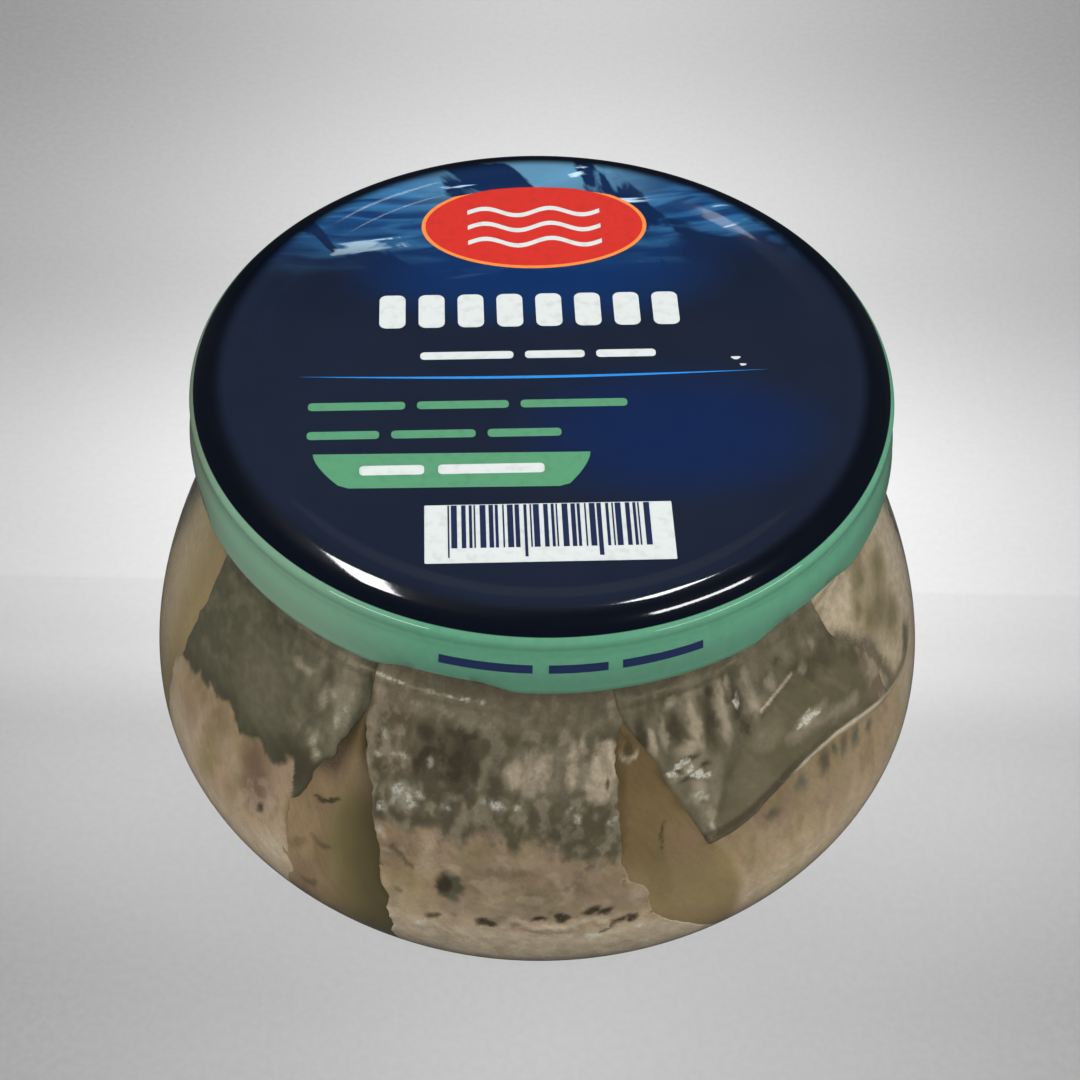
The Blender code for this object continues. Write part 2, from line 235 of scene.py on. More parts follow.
def make_studio(lid):
    """Even light all round, and narrow boxes whose mirror images lie on the varnished lid."""
    scene = bpy.context.scene
    scene.view_settings.view_transform = 'Standard'
    world = bpy.data.worlds.new("studio")
    scene.world = world
    world.use_nodes = True
    background = world.node_tree.nodes["Background"]
    background.inputs["Color"].default_value = srgb(236, 240, 246)
    background.inputs["Strength"].default_value = 0.06
    softbox("left_key", -58, 38, 0.9, (0.5, 0.4), 5.0)
    softbox("right_key", 50, 36, 0.9, (0.5, 0.4), 5.2)
    softbox("left_fill", -100, 18, 1.0, (0.7, 0.7), 6.4)
    softbox("right_fill", 96, 20, 1.0, (0.7, 0.7), 9.2)
    softbox("front_fill", -4, 3, 1.0, (0.9, 0.3), 6.2)
    softbox("back_fill", 180, 24, 1.0, (0.8, 0.5), 4.4)
    softbox("left_strip", -127, 68, 0.9, (0.34, 0.09), 2.0, 21, lit=lid)
    softbox("right_strip", 75, 63, 0.95, (0.30, 0.06), 1.0, -40, lit=lid)
    softbox("rear_strip", 162, 63, 0.95, (0.055, 0.12), 0.5, lit=lid)
    softbox("shoulder_left", -44, 17, 1.0, (0.50, 0.09), 1.1, lit=lid)
    softbox("shoulder_right", 54, 16, 1.0, (0.80, 0.07), 1.3, lit=lid)
    softbox("rear_panel", 180, 14, 1.2, (1.2, 0.3), 0.07, lit=lid)


# Shader nodes


class Graph:
    """Short words for the nodes of one material."""

    def __init__(self, name):
        self.material = bpy.data.materials.new(name)
        self.material.use_nodes = True
        self.tree = self.material.node_tree
        self.shader = self.tree.nodes["Principled BSDF"]
        self.output = self.tree.nodes["Material Output"]

    def put(self, socket, value):
        """Link a socket to the value, or set it on the socket itself."""
        if isinstance(value, bpy.types.NodeSocket):
            self.tree.links.new(value, socket)
        else:
            socket.default_value = value

    def set(self, **inputs):
        for name, value in inputs.items():
            self.put(self.shader.inputs[name.replace("_", " ")], value)

    def math(self, operation, first, second=0.0, clamp=False):
        node = self.tree.nodes.new("ShaderNodeMath")
        node.operation = operation
        node.use_clamp = clamp
        self.put(node.inputs[0], first)
        self.put(node.inputs[1], second)
        return node.outputs[0]

    def add(self, *terms):
        total = terms[0]
        for term in terms[1:]:
            total = self.math('ADD', total, term)
        return total

    def times(self, first, second):
        return self.math('MULTIPLY', first, second)

    def length(self, x, y):
        return self.math('SQRT', self.add(self.times(x, x), self.times(y, y)))

    def ramp(self, value, low, high, start=0.0, end=1.0):
        """Smooth change from start to end as value goes from low to high."""
        node = self.tree.nodes.new("ShaderNodeMapRange")
        node.interpolation_type = 'SMOOTHSTEP'
        for socket, number in zip(node.inputs, (value, low, high, start, end)):
            self.put(socket, number)
        return node.outputs["Result"]

    def mix(self, factor, first, second):
        node = self.tree.nodes.new("ShaderNodeMix")
        node.data_type = 'RGBA'
        self.put(node.inputs["Factor"], factor)
        sockets = [socket for socket in node.inputs if socket.type == 'RGBA']
        self.put(sockets[0], first)
        self.put(sockets[1], second)
        return next(socket for socket in node.outputs if socket.type == 'RGBA')

    def attribute(self, name, vector=False):
        node = self.tree.nodes.new("ShaderNodeAttribute")
        node.attribute_name = name
        return node.outputs["Vector" if vector else "Fac"]

    def place(self):
        return self.tree.nodes.new("ShaderNodeTexCoord").outputs["Object"]

    def parts(self, vector):
        node = self.tree.nodes.new("ShaderNodeSeparateXYZ")
        self.put(node.inputs[0], vector)
        return node.outputs

    def stretch(self, vector, size, turn=0.0):
        """Place in units of size, along axes that are turned."""
        node = self.tree.nodes.new("ShaderNodeMapping")
        node.vector_type = 'TEXTURE'
        self.put(node.inputs["Vector"], vector)
        node.inputs["Scale"].default_value = size
        node.inputs["Rotation"].default_value = (0, 0, turn)
        return node.outputs[0]

    def noise(self, vector, scale, detail=3.0, distortion=0.0):
        node = self.tree.nodes.new("ShaderNodeTexNoise")
        self.put(node.inputs["Vector"], vector)
        node.inputs["Scale"].default_value = scale
        node.inputs["Detail"].default_value = detail
        node.inputs["Distortion"].default_value = distortion
        return node.outputs["Fac"]

    def bump(self, height, strength, distance):
        node = self.tree.nodes.new("ShaderNodeBump")
        self.put(node.inputs["Height"], height)
        node.inputs["Strength"].default_value = strength
        node.inputs["Distance"].default_value = distance
        for name in ("Normal", "Coat Normal"):
            self.put(self.shader.inputs[name], node.outputs[0])

    def lit_through(self, tint=(1, 1, 1, 1)):
        """Lamps light what is inside: their rays pass straight through."""
        path = self.tree.nodes.new("ShaderNodeLightPath")
        clear = self.tree.nodes.new("ShaderNodeBsdfTransparent")
        clear.inputs["Color"].default_value = tint
        mixer = self.tree.nodes.new("ShaderNodeMixShader")
        self.put(mixer.inputs[0], path.outputs["Is Shadow Ray"])
        self.put(mixer.inputs[1], self.shader.outputs[0])
        self.put(mixer.inputs[2], clear.outputs[0])
        self.put(self.output.inputs["Surface"], mixer.outputs[0])


def glass_material():
    """Clear glass with a faint waviness."""
    graph = Graph("jar_glass")
    waves = graph.noise(graph.place(), 45.0, 1.0)
    graph.set(Base_Color=(0.985, 0.99, 0.98, 1), Roughness=0.0, IOR=1.52, Transmission_Weight=1.0)
    graph.bump(waves, 0.12, 0.4 * MM)
    graph.lit_through()
    return graph.material


def wet_material(name, ior, light, dark):
    """A surface with a liquid on it or of it, which bends light and doesn't mirror it."""
    graph = Graph(name)
    graph.tree.nodes.remove(graph.shader)
    graph.shader = graph.tree.nodes.new("ShaderNodeBsdfRefraction")
    graph.shader.inputs["IOR"].default_value = ior
    graph.shader.inputs["Roughness"].default_value = 0.0
    graph.set(Color=graph.mix(graph.noise(graph.place(), 60.0, 2.0), light, dark))
    graph.lit_through()
    return graph.material


def tone(red, green, blue):
    """A colour as the contents show it under the studio's lights."""
    return tuple(channel * CONTENTS_TONE for channel in srgb(red, green, blue)[:3]) + (1.0,)


def herring_material():
    """Flesh and skin, mixed by the masks that are painted on each piece."""
    graph = Graph("herring_flesh")
    wall = graph.attribute("wall", vector=True)
    mask = {name: graph.attribute(name) for name in MASKS}
    cloud = graph.noise(wall, 0.16, 3.0)
    grain = graph.noise(graph.stretch(wall, (1.5, 1.1, 1.0), -0.5), 1.0, 4.0)
    speck = graph.noise(wall, 3.2, 3.0)
    fibre = graph.noise(graph.stretch(wall, (0.55, 2.6, 1.0), 0.55), 1.0, 4.0, 0.4)

    flesh = graph.mix(graph.ramp(cloud, 0.35, 0.65), tone(170, 149, 120), tone(168, 145, 126))
    flesh = graph.mix(graph.times(graph.ramp(fibre, 0.42, 0.72), 0.3), flesh, tone(134, 114, 92))
    flesh = graph.mix(mask["pink"], flesh, tone(116, 95, 80))
    warm = graph.mix(graph.ramp(fibre, 0.3, 0.75), tone(112, 92, 65), tone(102, 84, 59))
    flesh = graph.mix(mask["warm"], flesh, warm)
    olive = graph.mix(graph.ramp(cloud, 0.35, 0.65), tone(130, 118, 80), tone(122, 111, 78))
    flesh = graph.mix(mask["olive"], flesh, olive)
    skin = graph.mix(graph.ramp(grain, 0.34, 0.66), tone(75, 75, 61), tone(83, 82, 67))
    colour = graph.mix(mask["skin"], flesh, skin)
    # Pale tone; the pieces also paint light and highlights with it
    pale = graph.mix(graph.ramp(grain, 0.35, 0.7), tone(175, 162, 143), tone(194, 181, 163))
    colour = graph.mix(mask["pale"], colour, pale)
    blotch = graph.times(mask["dark"], graph.ramp(speck, 0.2, 0.6, 0.75, 1.0))
    colour = graph.mix(blotch, colour, tone(44, 39, 31))
    # Painted shade
    colour = graph.mix(graph.times(mask["shade"], 0.9), colour, tone(50, 46, 30))
    # Silver skin with painted glints: near-white colour where the mask and the drops meet
    drops = graph.noise(wall, 1.5, 1.0, 0.6)
    glitter = graph.times(mask["silver"], graph.ramp(drops, 0.38, 0.5, 0.35, 1.0))
    colour = graph.mix(glitter, colour, srgb(206, 208, 200))
    fine = graph.ramp(speck, 0.3, 0.75, 0.0, 0.16)
    colour = graph.mix(fine, colour, tone(80, 70, 54))

    graph.set(Base_Color=colour, Roughness=graph.ramp(glitter, 0.0, 1.0, 0.55, 0.25),
              Specular_IOR_Level=0.25, Metallic=graph.times(glitter, 0.4))
    relief = graph.add(graph.times(fibre, 0.4), graph.times(grain, 0.3), graph.times(speck, 0.15))
    graph.bump(relief, 0.18, 0.2 * MM)
    return graph.material


def lid_material():
    """Varnished print: navy panel with a blue glow, green shoulder and skirt, with painted light and shade
    on the bead and skirt.
    """
    graph = Graph("lid_print")
    place = graph.place()
    node = graph.tree.nodes.new("ShaderNodeVectorRotate")
    node.rotation_type = 'Z_AXIS'
    graph.put(node.inputs["Vector"], place)
    node.inputs["Angle"].default_value = -PRINT_TURN
    design = node.outputs[0]
    x, y, z = graph.parts(design)

    def glow(middle, size):
        along = graph.math('DIVIDE', graph.add(x, -middle[0] * MM), size[0] * MM)
        across = graph.math('DIVIDE', graph.add(y, -middle[1] * MM), size[1] * MM)
        far = graph.add(graph.times(along, along), graph.times(across, across))
        return graph.ramp(far, 0.0, 1.0, 1.0, 0.0)

    cloud = graph.noise(place, 60.0, 3.0)
    navy = graph.mix(cloud, srgb(13, 20, 36), srgb(18, 27, 43))
    navy = graph.mix(graph.times(glow((15, -11), (22, 13)), 0.8), navy, srgb(5, 27, 66))
    navy = graph.mix(graph.times(glow((0, 18), (27, 12)), 0.85), navy, srgb(2, 36, 80))

    streaks = graph.noise(graph.stretch(design, (15 * MM, 2.6 * MM, 1.0), 0.10), 1.0, 5.0, 0.8)
    slopes = graph.noise(graph.stretch(design, (9 * MM, 20 * MM, 1.0), 0.75), 1.0, 5.0, 0.5)
    water = graph.mix(graph.ramp(streaks, 0.40, 0.66), srgb(8, 40, 80), srgb(38, 88, 128))
    pale = graph.times(graph.ramp(graph.math('ABSOLUTE', x), 4 * MM, 22 * MM, 0.7, 0.0),
                       graph.ramp(y, 27 * MM, 36 * MM))
    water = graph.mix(pale, water, srgb(84, 128, 152))
    water = graph.mix(graph.ramp(slopes, 0.52, 0.56), water, srgb(6, 28, 60))
    foam = graph.times(graph.ramp(streaks, 0.60, 0.66), graph.ramp(slopes, 0.46, 0.50))
    water = graph.mix(graph.times(foam, 0.8), water, srgb(170, 198, 216))
    height = graph.add(y, graph.times(cloud, 3 * MM))
    band = graph.ramp(height, 18 * MM, 30 * MM)
    navy = graph.mix(band, navy, water)

    radius = graph.length(x, y)
    # The bead from its crown outwards is painted near black, a painted dark reflection
    navy = graph.mix(graph.ramp(radius, 37.6 * MM, 39.4 * MM), navy, srgb(1, 4, 13))
    green = graph.mix(graph.noise(place, 900.0, 2.0), srgb(66, 115, 89), srgb(79, 129, 104))
    # Painted shade darkens the foot of the skirt, and painted light makes its left side lighter and greyer,
    # duller at the far left
    green = graph.mix(graph.ramp(z, 60.0 * MM, 65.0 * MM, 0.5, 0.0), green, srgb(58, 80, 68))
    green = graph.mix(graph.ramp(x, -12 * MM, -30 * MM, 0.0, 0.45), green, srgb(112, 128, 110))
    green = graph.mix(graph.ramp(x, -36 * MM, -42 * MM, 0.0, 0.6), green, srgb(84, 84, 68))
    colour = graph.mix(graph.ramp(z, (PRINT_EDGE - 0.05) * MM, (PRINT_EDGE + 0.05) * MM), green, navy)

    haze = graph.noise(place, 220.0, 4.0)
    graph.set(Base_Color=colour, Roughness=graph.ramp(haze, 0.3, 0.8, 0.30, 0.42),
              Coat_Weight=graph.ramp(y, 4 * MM, 20 * MM, 1.0, 0.12), Coat_Roughness=0.06,
              Coat_IOR=1.6, Specular_IOR_Level=0.06)
    graph.bump(graph.noise(place, 1500.0, 2.0), 0.05, 0.05 * MM)
    return graph.material


def ink_material(name, colour):
    """Varnished ink of the lid's print."""
    graph = Graph(name)
    wear = graph.noise(graph.place(), 800.0, 3.0)
    shade = tuple(channel * 0.86 for channel in colour[:3]) + (1.0,)
    graph.set(Base_Color=graph.mix(graph.ramp(wear, 0.45, 0.75), colour, shade),
              Roughness=graph.ramp(wear, 0.3, 0.8, 0.30, 0.42), Coat_Weight=1.0,
              Coat_Roughness=0.06, Coat_IOR=1.6, Specular_IOR_Level=0.12)
    return graph.material


def floor_material():
    """Glowing paper, painted light: a bright band beside the jar with a faint seam, darker to all sides."""
    graph = Graph("studio_floor")
    place = graph.place()
    x, y, _ = graph.parts(place)
    profile = graph.ramp(y, -0.050, -0.005, 0.35, 0.54)
    for first, last, change in ((-0.005, 0.012, 0.15), (0.012, 0.024, 0.05), (0.0241, 0.0252, 0.05),
                                (0.042, 0.100, -0.27), (0.100, 0.170, -0.13), (-0.050, -0.090, -0.10)):
        profile = graph.add(profile, graph.ramp(y, first, last, 0.0, change))
    side = graph.math('ABSOLUTE', graph.add(x, -0.003))
    across = graph.ramp(side, 0.0, 0.125, 1.43, 0.62)
    speck = graph.ramp(graph.noise(place, 900.0, 2.0), 0.3, 0.7, -0.01, 0.01)
    bright = graph.math('MINIMUM', graph.times(profile, across), 0.94)
    reach = graph.length(x, y)
    far = graph.ramp(reach, 0.26, 0.7, 0.0, 0.2)
    glow = graph.add(bright, graph.add(speck, graph.add(far, -FLOOR_BOUNCE)))
    paper = graph.mix(speck, srgb(124, 124, 124), srgb(120, 120, 121))
    graph.set(Base_Color=paper, Roughness=0.85, Emission_Color=srgb(254, 254, 255),
              Emission_Strength=graph.math('MAXIMUM', glow, 0.0))
    return graph.material


# Mesh building


def add_mesh(name, points, faces, material, attributes=None, smooth=True):
    mesh = bpy.data.meshes.new(name)
    mesh.from_pydata(points, [], faces)
    mesh.materials.append(material)
    for key, values in (attributes or {}).items():
        if values.ndim == 2:
            layer = mesh.attributes.new(key, 'FLOAT_VECTOR', 'POINT')
            layer.data.foreach_set("vector", values.astype(np.float32).ravel())
        else:
            layer = mesh.attributes.new(key, 'FLOAT', 'POINT')
            layer.data.foreach_set("value", values.astype(np.float32))
    mesh.update()
    if smooth:
        mesh.shade_smooth()
    obj = bpy.data.objects.new(name, mesh)
    bpy.context.scene.collection.objects.link(obj)
    return obj


def outward(obj):
    """Turn all faces of a closed mesh outwards."""
    shape = bmesh.new()
    shape.from_mesh(obj.data)
    bmesh.ops.recalc_face_normals(shape, faces=shape.faces)
    shape.to_mesh(obj.data)
    shape.free()
    return obj


def turned(name, profile, steps, material, warp=None):
    """A solid of revolution round the axis; warp may move its points."""
    profile = np.array(profile)
    on_axis = profile[:, 0] < 1e-6
    angles = np.linspace(0, 2 * math.pi, steps, endpoint=False)
    points = []
    rows = []
    for (radius, height), pole in zip(profile, on_axis):
        start = len(points)
        if pole:
            points.append((0.0, 0.0, height * MM))
            rows.append([start] * steps)
            continue
        radii = np.full(steps, radius)
        heights = np.full(steps, height)
        if warp:
            radii, heights = warp(angles, radii, heights)
        for angle, r, h in zip(angles, radii, heights):
            points.append((r * math.sin(angle) * MM, -r * math.cos(angle) * MM, h * MM))
        rows.append(list(range(start, start + steps)))
    faces = []
    pairs = list(zip(rows, rows[1:]))
    if not (on_axis[0] and on_axis[-1]):
        pairs.append((rows[-1], rows[0]))
    for upper, lower in pairs:
        for index in range(steps):
            after = (index + 1) % steps
            corners = [upper[index], upper[after], lower[after], lower[index]]
            face = list(dict.fromkeys(corners))
            if len(face) > 2:
                faces.append(face)
    obj = add_mesh(name, points, faces, material)
    obj.data.set_sharp_from_angle(angle=SHARP_ANGLE)
    return outward(obj)


def bezier(start, handle_a, handle_b, end, pieces):
    """Points of a cubic curve with two handles."""
    t = np.linspace(0, 1, pieces + 1)[:, None]
    s = 1 - t
    return (s ** 3 * np.array(start) + 3 * s * s * t * np.array(handle_a)
            + 3 * s * t * t * np.array(handle_b) + t ** 3 * np.array(end))


def through(points, pieces):
    """A smooth line through the points."""
    points = np.array(points, dtype=float)
    padded = np.vstack([2 * points[0] - points[1], points, 2 * points[-1] - points[-2]])
    line = []
    for index in range(1, len(padded) - 2):
        before, start, end, after = padded[index - 1:index + 3]
        for t in np.linspace(0, 1, pieces, endpoint=False):
            line.append(0.5 * (2 * start + (end - before) * t
                               + (2 * before - 5 * start + 4 * end - after) * t * t
                               + (3 * start - before - 3 * end + after) * t ** 3))
    line.append(points[-1])
    return np.array(line)


def offset(points, distance):
    """The line beside a line, at a distance to its inner side."""
    run = np.gradient(points, axis=0)
    run /= np.hypot(run[:, 0], run[:, 1])[:, None]
    return np.stack([points[:, 0] + run[:, 1] * distance, points[:, 1] - run[:, 0] * distance], 1)


# Jar


def outer_wall(pieces):
    """The jar's outline from the neck over the belly to the heel."""
    neck = (NECK_RADIUS, NECK_HEIGHT)
    belly = (BELLY_RADIUS, BELLY_HEIGHT)
    upper = bezier(neck, (neck[0] + NECK_HANDLE * math.cos(NECK_SLOPE),
                          neck[1] - NECK_HANDLE * math.sin(NECK_SLOPE)),
                   (belly[0], belly[1] + BELLY_HANDLE_HIGH), belly, pieces)
    lower = bezier(belly, (belly[0], belly[1] - BELLY_HANDLE_LOW),
                   (HEEL_RADIUS + HEEL_HANDLE, 0.0), (HEEL_RADIUS, 0.0), pieces)
    return np.vstack([upper, lower[1:]])


def inner_wall(pieces):
    """The inside from the neck down to the edge of the floor."""
    wall = offset(outer_wall(pieces), GLASS)
    neck = [(MOUTH_RADIUS, NECK_HEIGHT + 2 * GLASS), (MOUTH_RADIUS, NECK_HEIGHT + GLASS)]
    return np.vstack([neck, wall])


def jar_floor(count):
    """Heights of the inside floor from its edge to the axis, as radius and height."""
    edge = inner_wall(WALL_STEPS)[-1]
    radii = np.linspace(edge[0], 0.0, count)[1:]
    rise = np.sqrt(np.clip(1 - (radii / edge[0]) ** 2, 0, 1))
    return np.stack([radii, edge[1] + (PUNT_RISE + FLOOR_THICKNESS - edge[1]) * rise ** 1.3], 1)


def jar_profile():
    """The whole outline of the glass, from the inside floor round to the punt."""
    finish = through([
        (MOUTH_RADIUS, RIM_HEIGHT - RIM_ROUND),
        (MOUTH_RADIUS + RIM_ROUND, RIM_HEIGHT),
        (FINISH_RADIUS - RIM_ROUND, RIM_HEIGHT),
        (FINISH_RADIUS, RIM_HEIGHT - RIM_ROUND),
        (FINISH_RADIUS, THREAD_HEIGHT + THREAD_HALF),
        (FINISH_RADIUS, THREAD_HEIGHT),
        (FINISH_RADIUS, THREAD_HEIGHT - THREAD_HALF),
        (FINISH_RADIUS, BEAD_HEIGHT + 1.5),
        (BEAD_RADIUS - 0.2, BEAD_HEIGHT + 0.9),
        (BEAD_RADIUS, BEAD_HEIGHT),
        (BEAD_RADIUS - 0.4, BEAD_HEIGHT - 0.9),
        (NECK_RADIUS + 0.3, NECK_HEIGHT + 0.5),
    ], 4)
    base = through([
        (HEEL_RADIUS - 1.5, 0.05),
        (PUNT_RADIUS, 0.6),
        (PUNT_RADIUS * 0.7, PUNT_RISE * 0.8),
        (PUNT_RADIUS * 0.35, PUNT_RISE * 0.97),
        (0.0, PUNT_RISE),
    ], 6)
    inside = np.vstack([jar_floor(JAR_FLOOR_STEPS)[::-1], inner_wall(WALL_STEPS)[::-1]])
    return np.vstack([inside, finish, outer_wall(WALL_STEPS), base])


def bump_at(angles, first, span):
    """1 in the middle of each lug or ramp and 0 between them, and the angle from its middle."""
    pitch = 2 * math.pi / LUG_COUNT
    away = (angles - first + pitch / 2) % pitch - pitch / 2
    return smoothstep((span / 2 - np.abs(away)) / (span / 2.6), 0.0, 1.0), away


def thread_warp(angles, radii, heights):
    """Raise the thread's ramps from the finish, each a little higher at one end."""
    on_thread = (radii > FINISH_RADIUS - 0.05) & (np.abs(heights - THREAD_HEIGHT) < THREAD_HALF + 0.05)
    rise, away = bump_at(angles, FIRST_LUG, THREAD_SPAN)
    crest = np.clip(1 - np.abs(heights - THREAD_HEIGHT) / THREAD_HALF, 0, 1) * on_thread
    return (radii + THREAD_DEPTH * rise * crest,
            heights + THREAD_RISE * rise * away / THREAD_SPAN * on_thread)


def build_jar():
    jar = turned("glass_jar", jar_profile(), JAR_STEPS, glass_material(), thread_warp)
    # Where oil touches the glass
    jar.data.materials.append(wet_material("wet_glass", 1.52, (1, 1, 1, 1), (0.99, 0.995, 0.99, 1)))
    for face in jar.data.polygons:
        radius = math.hypot(face.center.x, face.center.y)
        inward = face.normal.x * face.center.x + face.normal.y * face.center.y < 0
        on_punt = radius < PUNT_EDGE * MM and face.center.z < PUNT_LIMIT * MM
        if (inward or face.normal.z > 0.5) and not on_punt and face.center.z < OIL_TOP * MM:
            face.material_index = 1
    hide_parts("jar")
    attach(jar, "root")

    inside = offset(inner_wall(WALL_STEPS), -OIL_BITE)
    inside = inside[inside[:, 1] < OIL_TOP]
    floor = jar_floor(JAR_FLOOR_STEPS) - np.array((0.0, OIL_BITE))
    surface = [(0.0, OIL_TOP), (MOUTH_RADIUS - 2.0, OIL_TOP), (MOUTH_RADIUS - 0.6, OIL_TOP + 0.15),
               (MOUTH_RADIUS + OIL_BITE, OIL_TOP + 0.5)]
    oil = turned("oil", np.vstack([surface, inside, floor]), JAR_STEPS,
                 wet_material("oil", 1.47, (0.98, 0.965, 0.9, 1), (0.96, 0.94, 0.86, 1)))
    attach(oil, "root")


# Lid


def lid_profile():
    """The sheet's outline: panel, bead, shoulder, skirt and curl outside, then the inside."""
    panel = [(0.0, PANEL_HEIGHT), (12.0, PANEL_HEIGHT), (24.0, PANEL_HEIGHT), (33.2, PANEL_HEIGHT)]
    bead = through([
        (33.8, PANEL_HEIGHT),
        (34.7, PANEL_HEIGHT + 0.08),
        (35.6, PANEL_HEIGHT + 0.36),
        (36.6, LID_TOP - 0.28),
        (37.4, LID_TOP - 0.07),
        (38.1, LID_TOP),
        (39.0, LID_TOP - 0.10),
        (39.9, LID_TOP - 0.33),
        (40.7, LID_TOP - 0.70),
        (41.25, LID_TOP - 1.06),
        (41.62, PRINT_EDGE),
        (41.95, LID_TOP - 1.75),
        (42.12, LID_TOP - 2.1),
        (42.14, LID_TOP - 2.55),
        (42.08, LID_TOP - 2.95),
        (42.04, LID_TOP - 3.2),
        (42.03, LID_TOP - 3.5),
        (42.04, LID_TOP - 4.4),
    ], 5)
    skirt = [SKIRT_TOP, (42.6, 61.4)]
    curl = through([
        (42.72, SKIRT_FOOT + 1.5),
        (42.8, SKIRT_FOOT + 0.9),
        (42.6, SKIRT_FOOT + 0.3),
        (42.1, SKIRT_FOOT),
        (41.5, SKIRT_FOOT + 0.15),
        (41.15, SKIRT_FOOT + 0.7),
        (41.4, SKIRT_FOOT + 1.4),
    ], 4)
    inside = [
        (41.6, 62.5),
        (41.85 - TIN, LID_TOP - 3.3),
        (41.95 - TIN, LID_TOP - 2.3),
        (40.6, LID_TOP - 2 * TIN),
        (39.2, LID_TOP - TIN),
        (37.4, LID_TOP - TIN - 0.1),
        (36.0, PANEL_HEIGHT + 0.4 - TIN),
        (34.6, PANEL_HEIGHT - TIN),
        (0.0, PANEL_HEIGHT - TIN),
    ]
    return np.vstack([panel, bead, skirt, curl, inside])


def lug_warp(angles, radii, heights):
    """Press the skirt's curl in and up at each lug."""
    rise, _ = bump_at(angles, FIRST_LUG, LUG_SPAN)
    low = np.clip((CURL_TOP - heights) / 1.5, 0, 1)
    return radii - LUG_REACH * rise * low, heights + LUG_LIFT * rise * low


def printed(name, outline, ink, lift=0.02):
    """A flat printed shape on the panel, from its outline in the print's own millimetres."""
    cos, sin = math.cos(PRINT_TURN), math.sin(PRINT_TURN)
    count = len(outline)
    points = []
    for height in (PANEL_HEIGHT - 0.02, PANEL_HEIGHT + lift):
        for x, y in outline:
            points.append(((x * cos - y * sin) * MM, (x * sin + y * cos) * MM, height * MM))
    faces = [list(range(count))[::-1], list(range(count, 2 * count))]
    for index in range(count):
        after = (index + 1) % count
        faces.append([index, after, count + after, count + index])
    obj = outward(add_mesh(name, points, faces, ink, smooth=False))
    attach(obj, "root")


def round_bar(left, right, low, high, corner, steps=5):
    """The outline of a bar with rounded corners."""
    outline = []
    middles = ((right - corner, high - corner, 0), (left + corner, high - corner, 1),
               (left + corner, low + corner, 2), (right - corner, low + corner, 3))
    for x, y, quarter in middles:
        for angle in np.linspace(quarter, quarter + 1, steps + 1) * math.pi / 2:
            outline.append((x + corner * math.cos(angle), y + corner * math.sin(angle)))
    return outline


def bars(name, spans, low, high, ink, corner=0.5, lift=0.02):
    """Plain bars, which stand where a label has its words."""
    for index, (left, right) in enumerate(spans):
        printed(f"{name}_{index}", round_bar(left, right, low, high, corner), ink, lift)


def print_panel(inks):
    """The bars across the panel, with a thin rule and a tab between them."""
    blocks = [-19.6 + TITLE_STEP * index for index in range(8)]
    bars("title_bar", [(left, left + TITLE_WIDTH) for left in blocks], 7.6, 13.6, inks["white"], 0.9)
    bars("subtitle_bar", ((-14.6, -3.4), (-2.0, 5.2), (6.6, 13.8)), 1.9, 3.2, inks["white"])
    bars("line_bar", ((-27.8, -16.4), (-15.0, -4.2), (-2.8, 9.8)), -6.6, -5.3, inks["green"])
    bars("lower_bar", ((-27.8, -19.4), (-18.0, -8.2), (-6.8, 1.8)), -11.4, -10.1, inks["green"])

    def rule_side(shares, half):
        return [(-29 + 56 * t, -0.75 - 0.65 * math.sin(math.pi * t) + half * math.sin(math.pi * t))
                for t in shares]

    rule = rule_side(np.linspace(0, 1, 41), 0.22) + rule_side(np.linspace(1, 0, 41)[1:-1], -0.22)
    printed("thin_rule", rule, inks["sky"])

    slope = [(-27 + 3.0 * t ** 1.6, -13.8 - 5.0 * t) for t in np.linspace(0, 1, 8)]
    tab = slope + [(-22.8, -19.3), (1.2, -19.5)]
    tab += [(5.0 - 2.6 * t ** 1.6, -14.1 - 5.0 * t) for t in np.linspace(1, 0, 8)]
    printed("tab", tab, inks["green"], 0.03)
    bars("tab_bar", ((-21.6, -14.2), (-12.6, -0.4)), -17.3, -15.8, inks["white"], lift=0.05)


def print_badge(inks):
    """A red oval with three waves."""
    badge = [(BADGE_SIZE[0] * math.cos(a), BADGE_MIDDLE + BADGE_SIZE[1] * math.sin(a))
             for a in np.linspace(0, 2 * math.pi, 72)[:-1]]
    field = [(x * 0.965, BADGE_MIDDLE + (y - BADGE_MIDDLE) * 0.94) for x, y in badge]
    printed("badge_edge", badge, inks["orange"], 0.03)
    printed("badge", field, inks["red"], 0.05)
    for index, height in enumerate((29.4, 26.4, 23.4)):
        line = [(x, height + 0.5 + 0.7 * math.sin(x * 0.75)) for x in np.linspace(-8.5, 8.5, 36)]
        line += [(x, height - 0.3 + 0.7 * math.sin(x * 0.75)) for x in np.linspace(8.5, -8.5, 36)]
        printed(f"badge_wave_{index}", line, inks["white"], 0.07)


def print_stripes(inks):
    """A white label with uneven upright stripes."""
    printed("panel_label", round_bar(-14.2, 13.7, -31.0, -22.2, 0.15), inks["white"], 0.03)
    left = -11.6
    index = 0
    while left < 11.2:
        width = 0.18 + 0.16 * (index * 7 % 4)
        gap = 0.2 + 0.15 * (index * 5 % 3)
        right = left + width
        foot = STRIPE_LONG_FOOT if index % 11 == 0 else STRIPE_FOOT
        stripe = [(left, foot), (right, foot), (right, STRIPE_HEAD), (left, STRIPE_HEAD)]
        printed(f"stripe_{index}", stripe, inks["navy"], 0.05)
        left += width + gap
        index += 1


def print_chips(ink):
    """Two places where the lacquer has come off."""
    for index, (x, y, size) in enumerate(((23.4, 1.35, 0.5), (24.1, 0.15, 0.36))):
        chip = [(x + size * (1 + 0.4 * math.sin(3 * a + index)) * math.cos(a),
                 y + 0.7 * size * (1 + 0.3 * math.cos(2 * a)) * math.sin(a))
                for a in np.linspace(0, 2 * math.pi, 14)[:-1]]
        printed(f"paint_chip_{index}", chip, ink, 0.02)


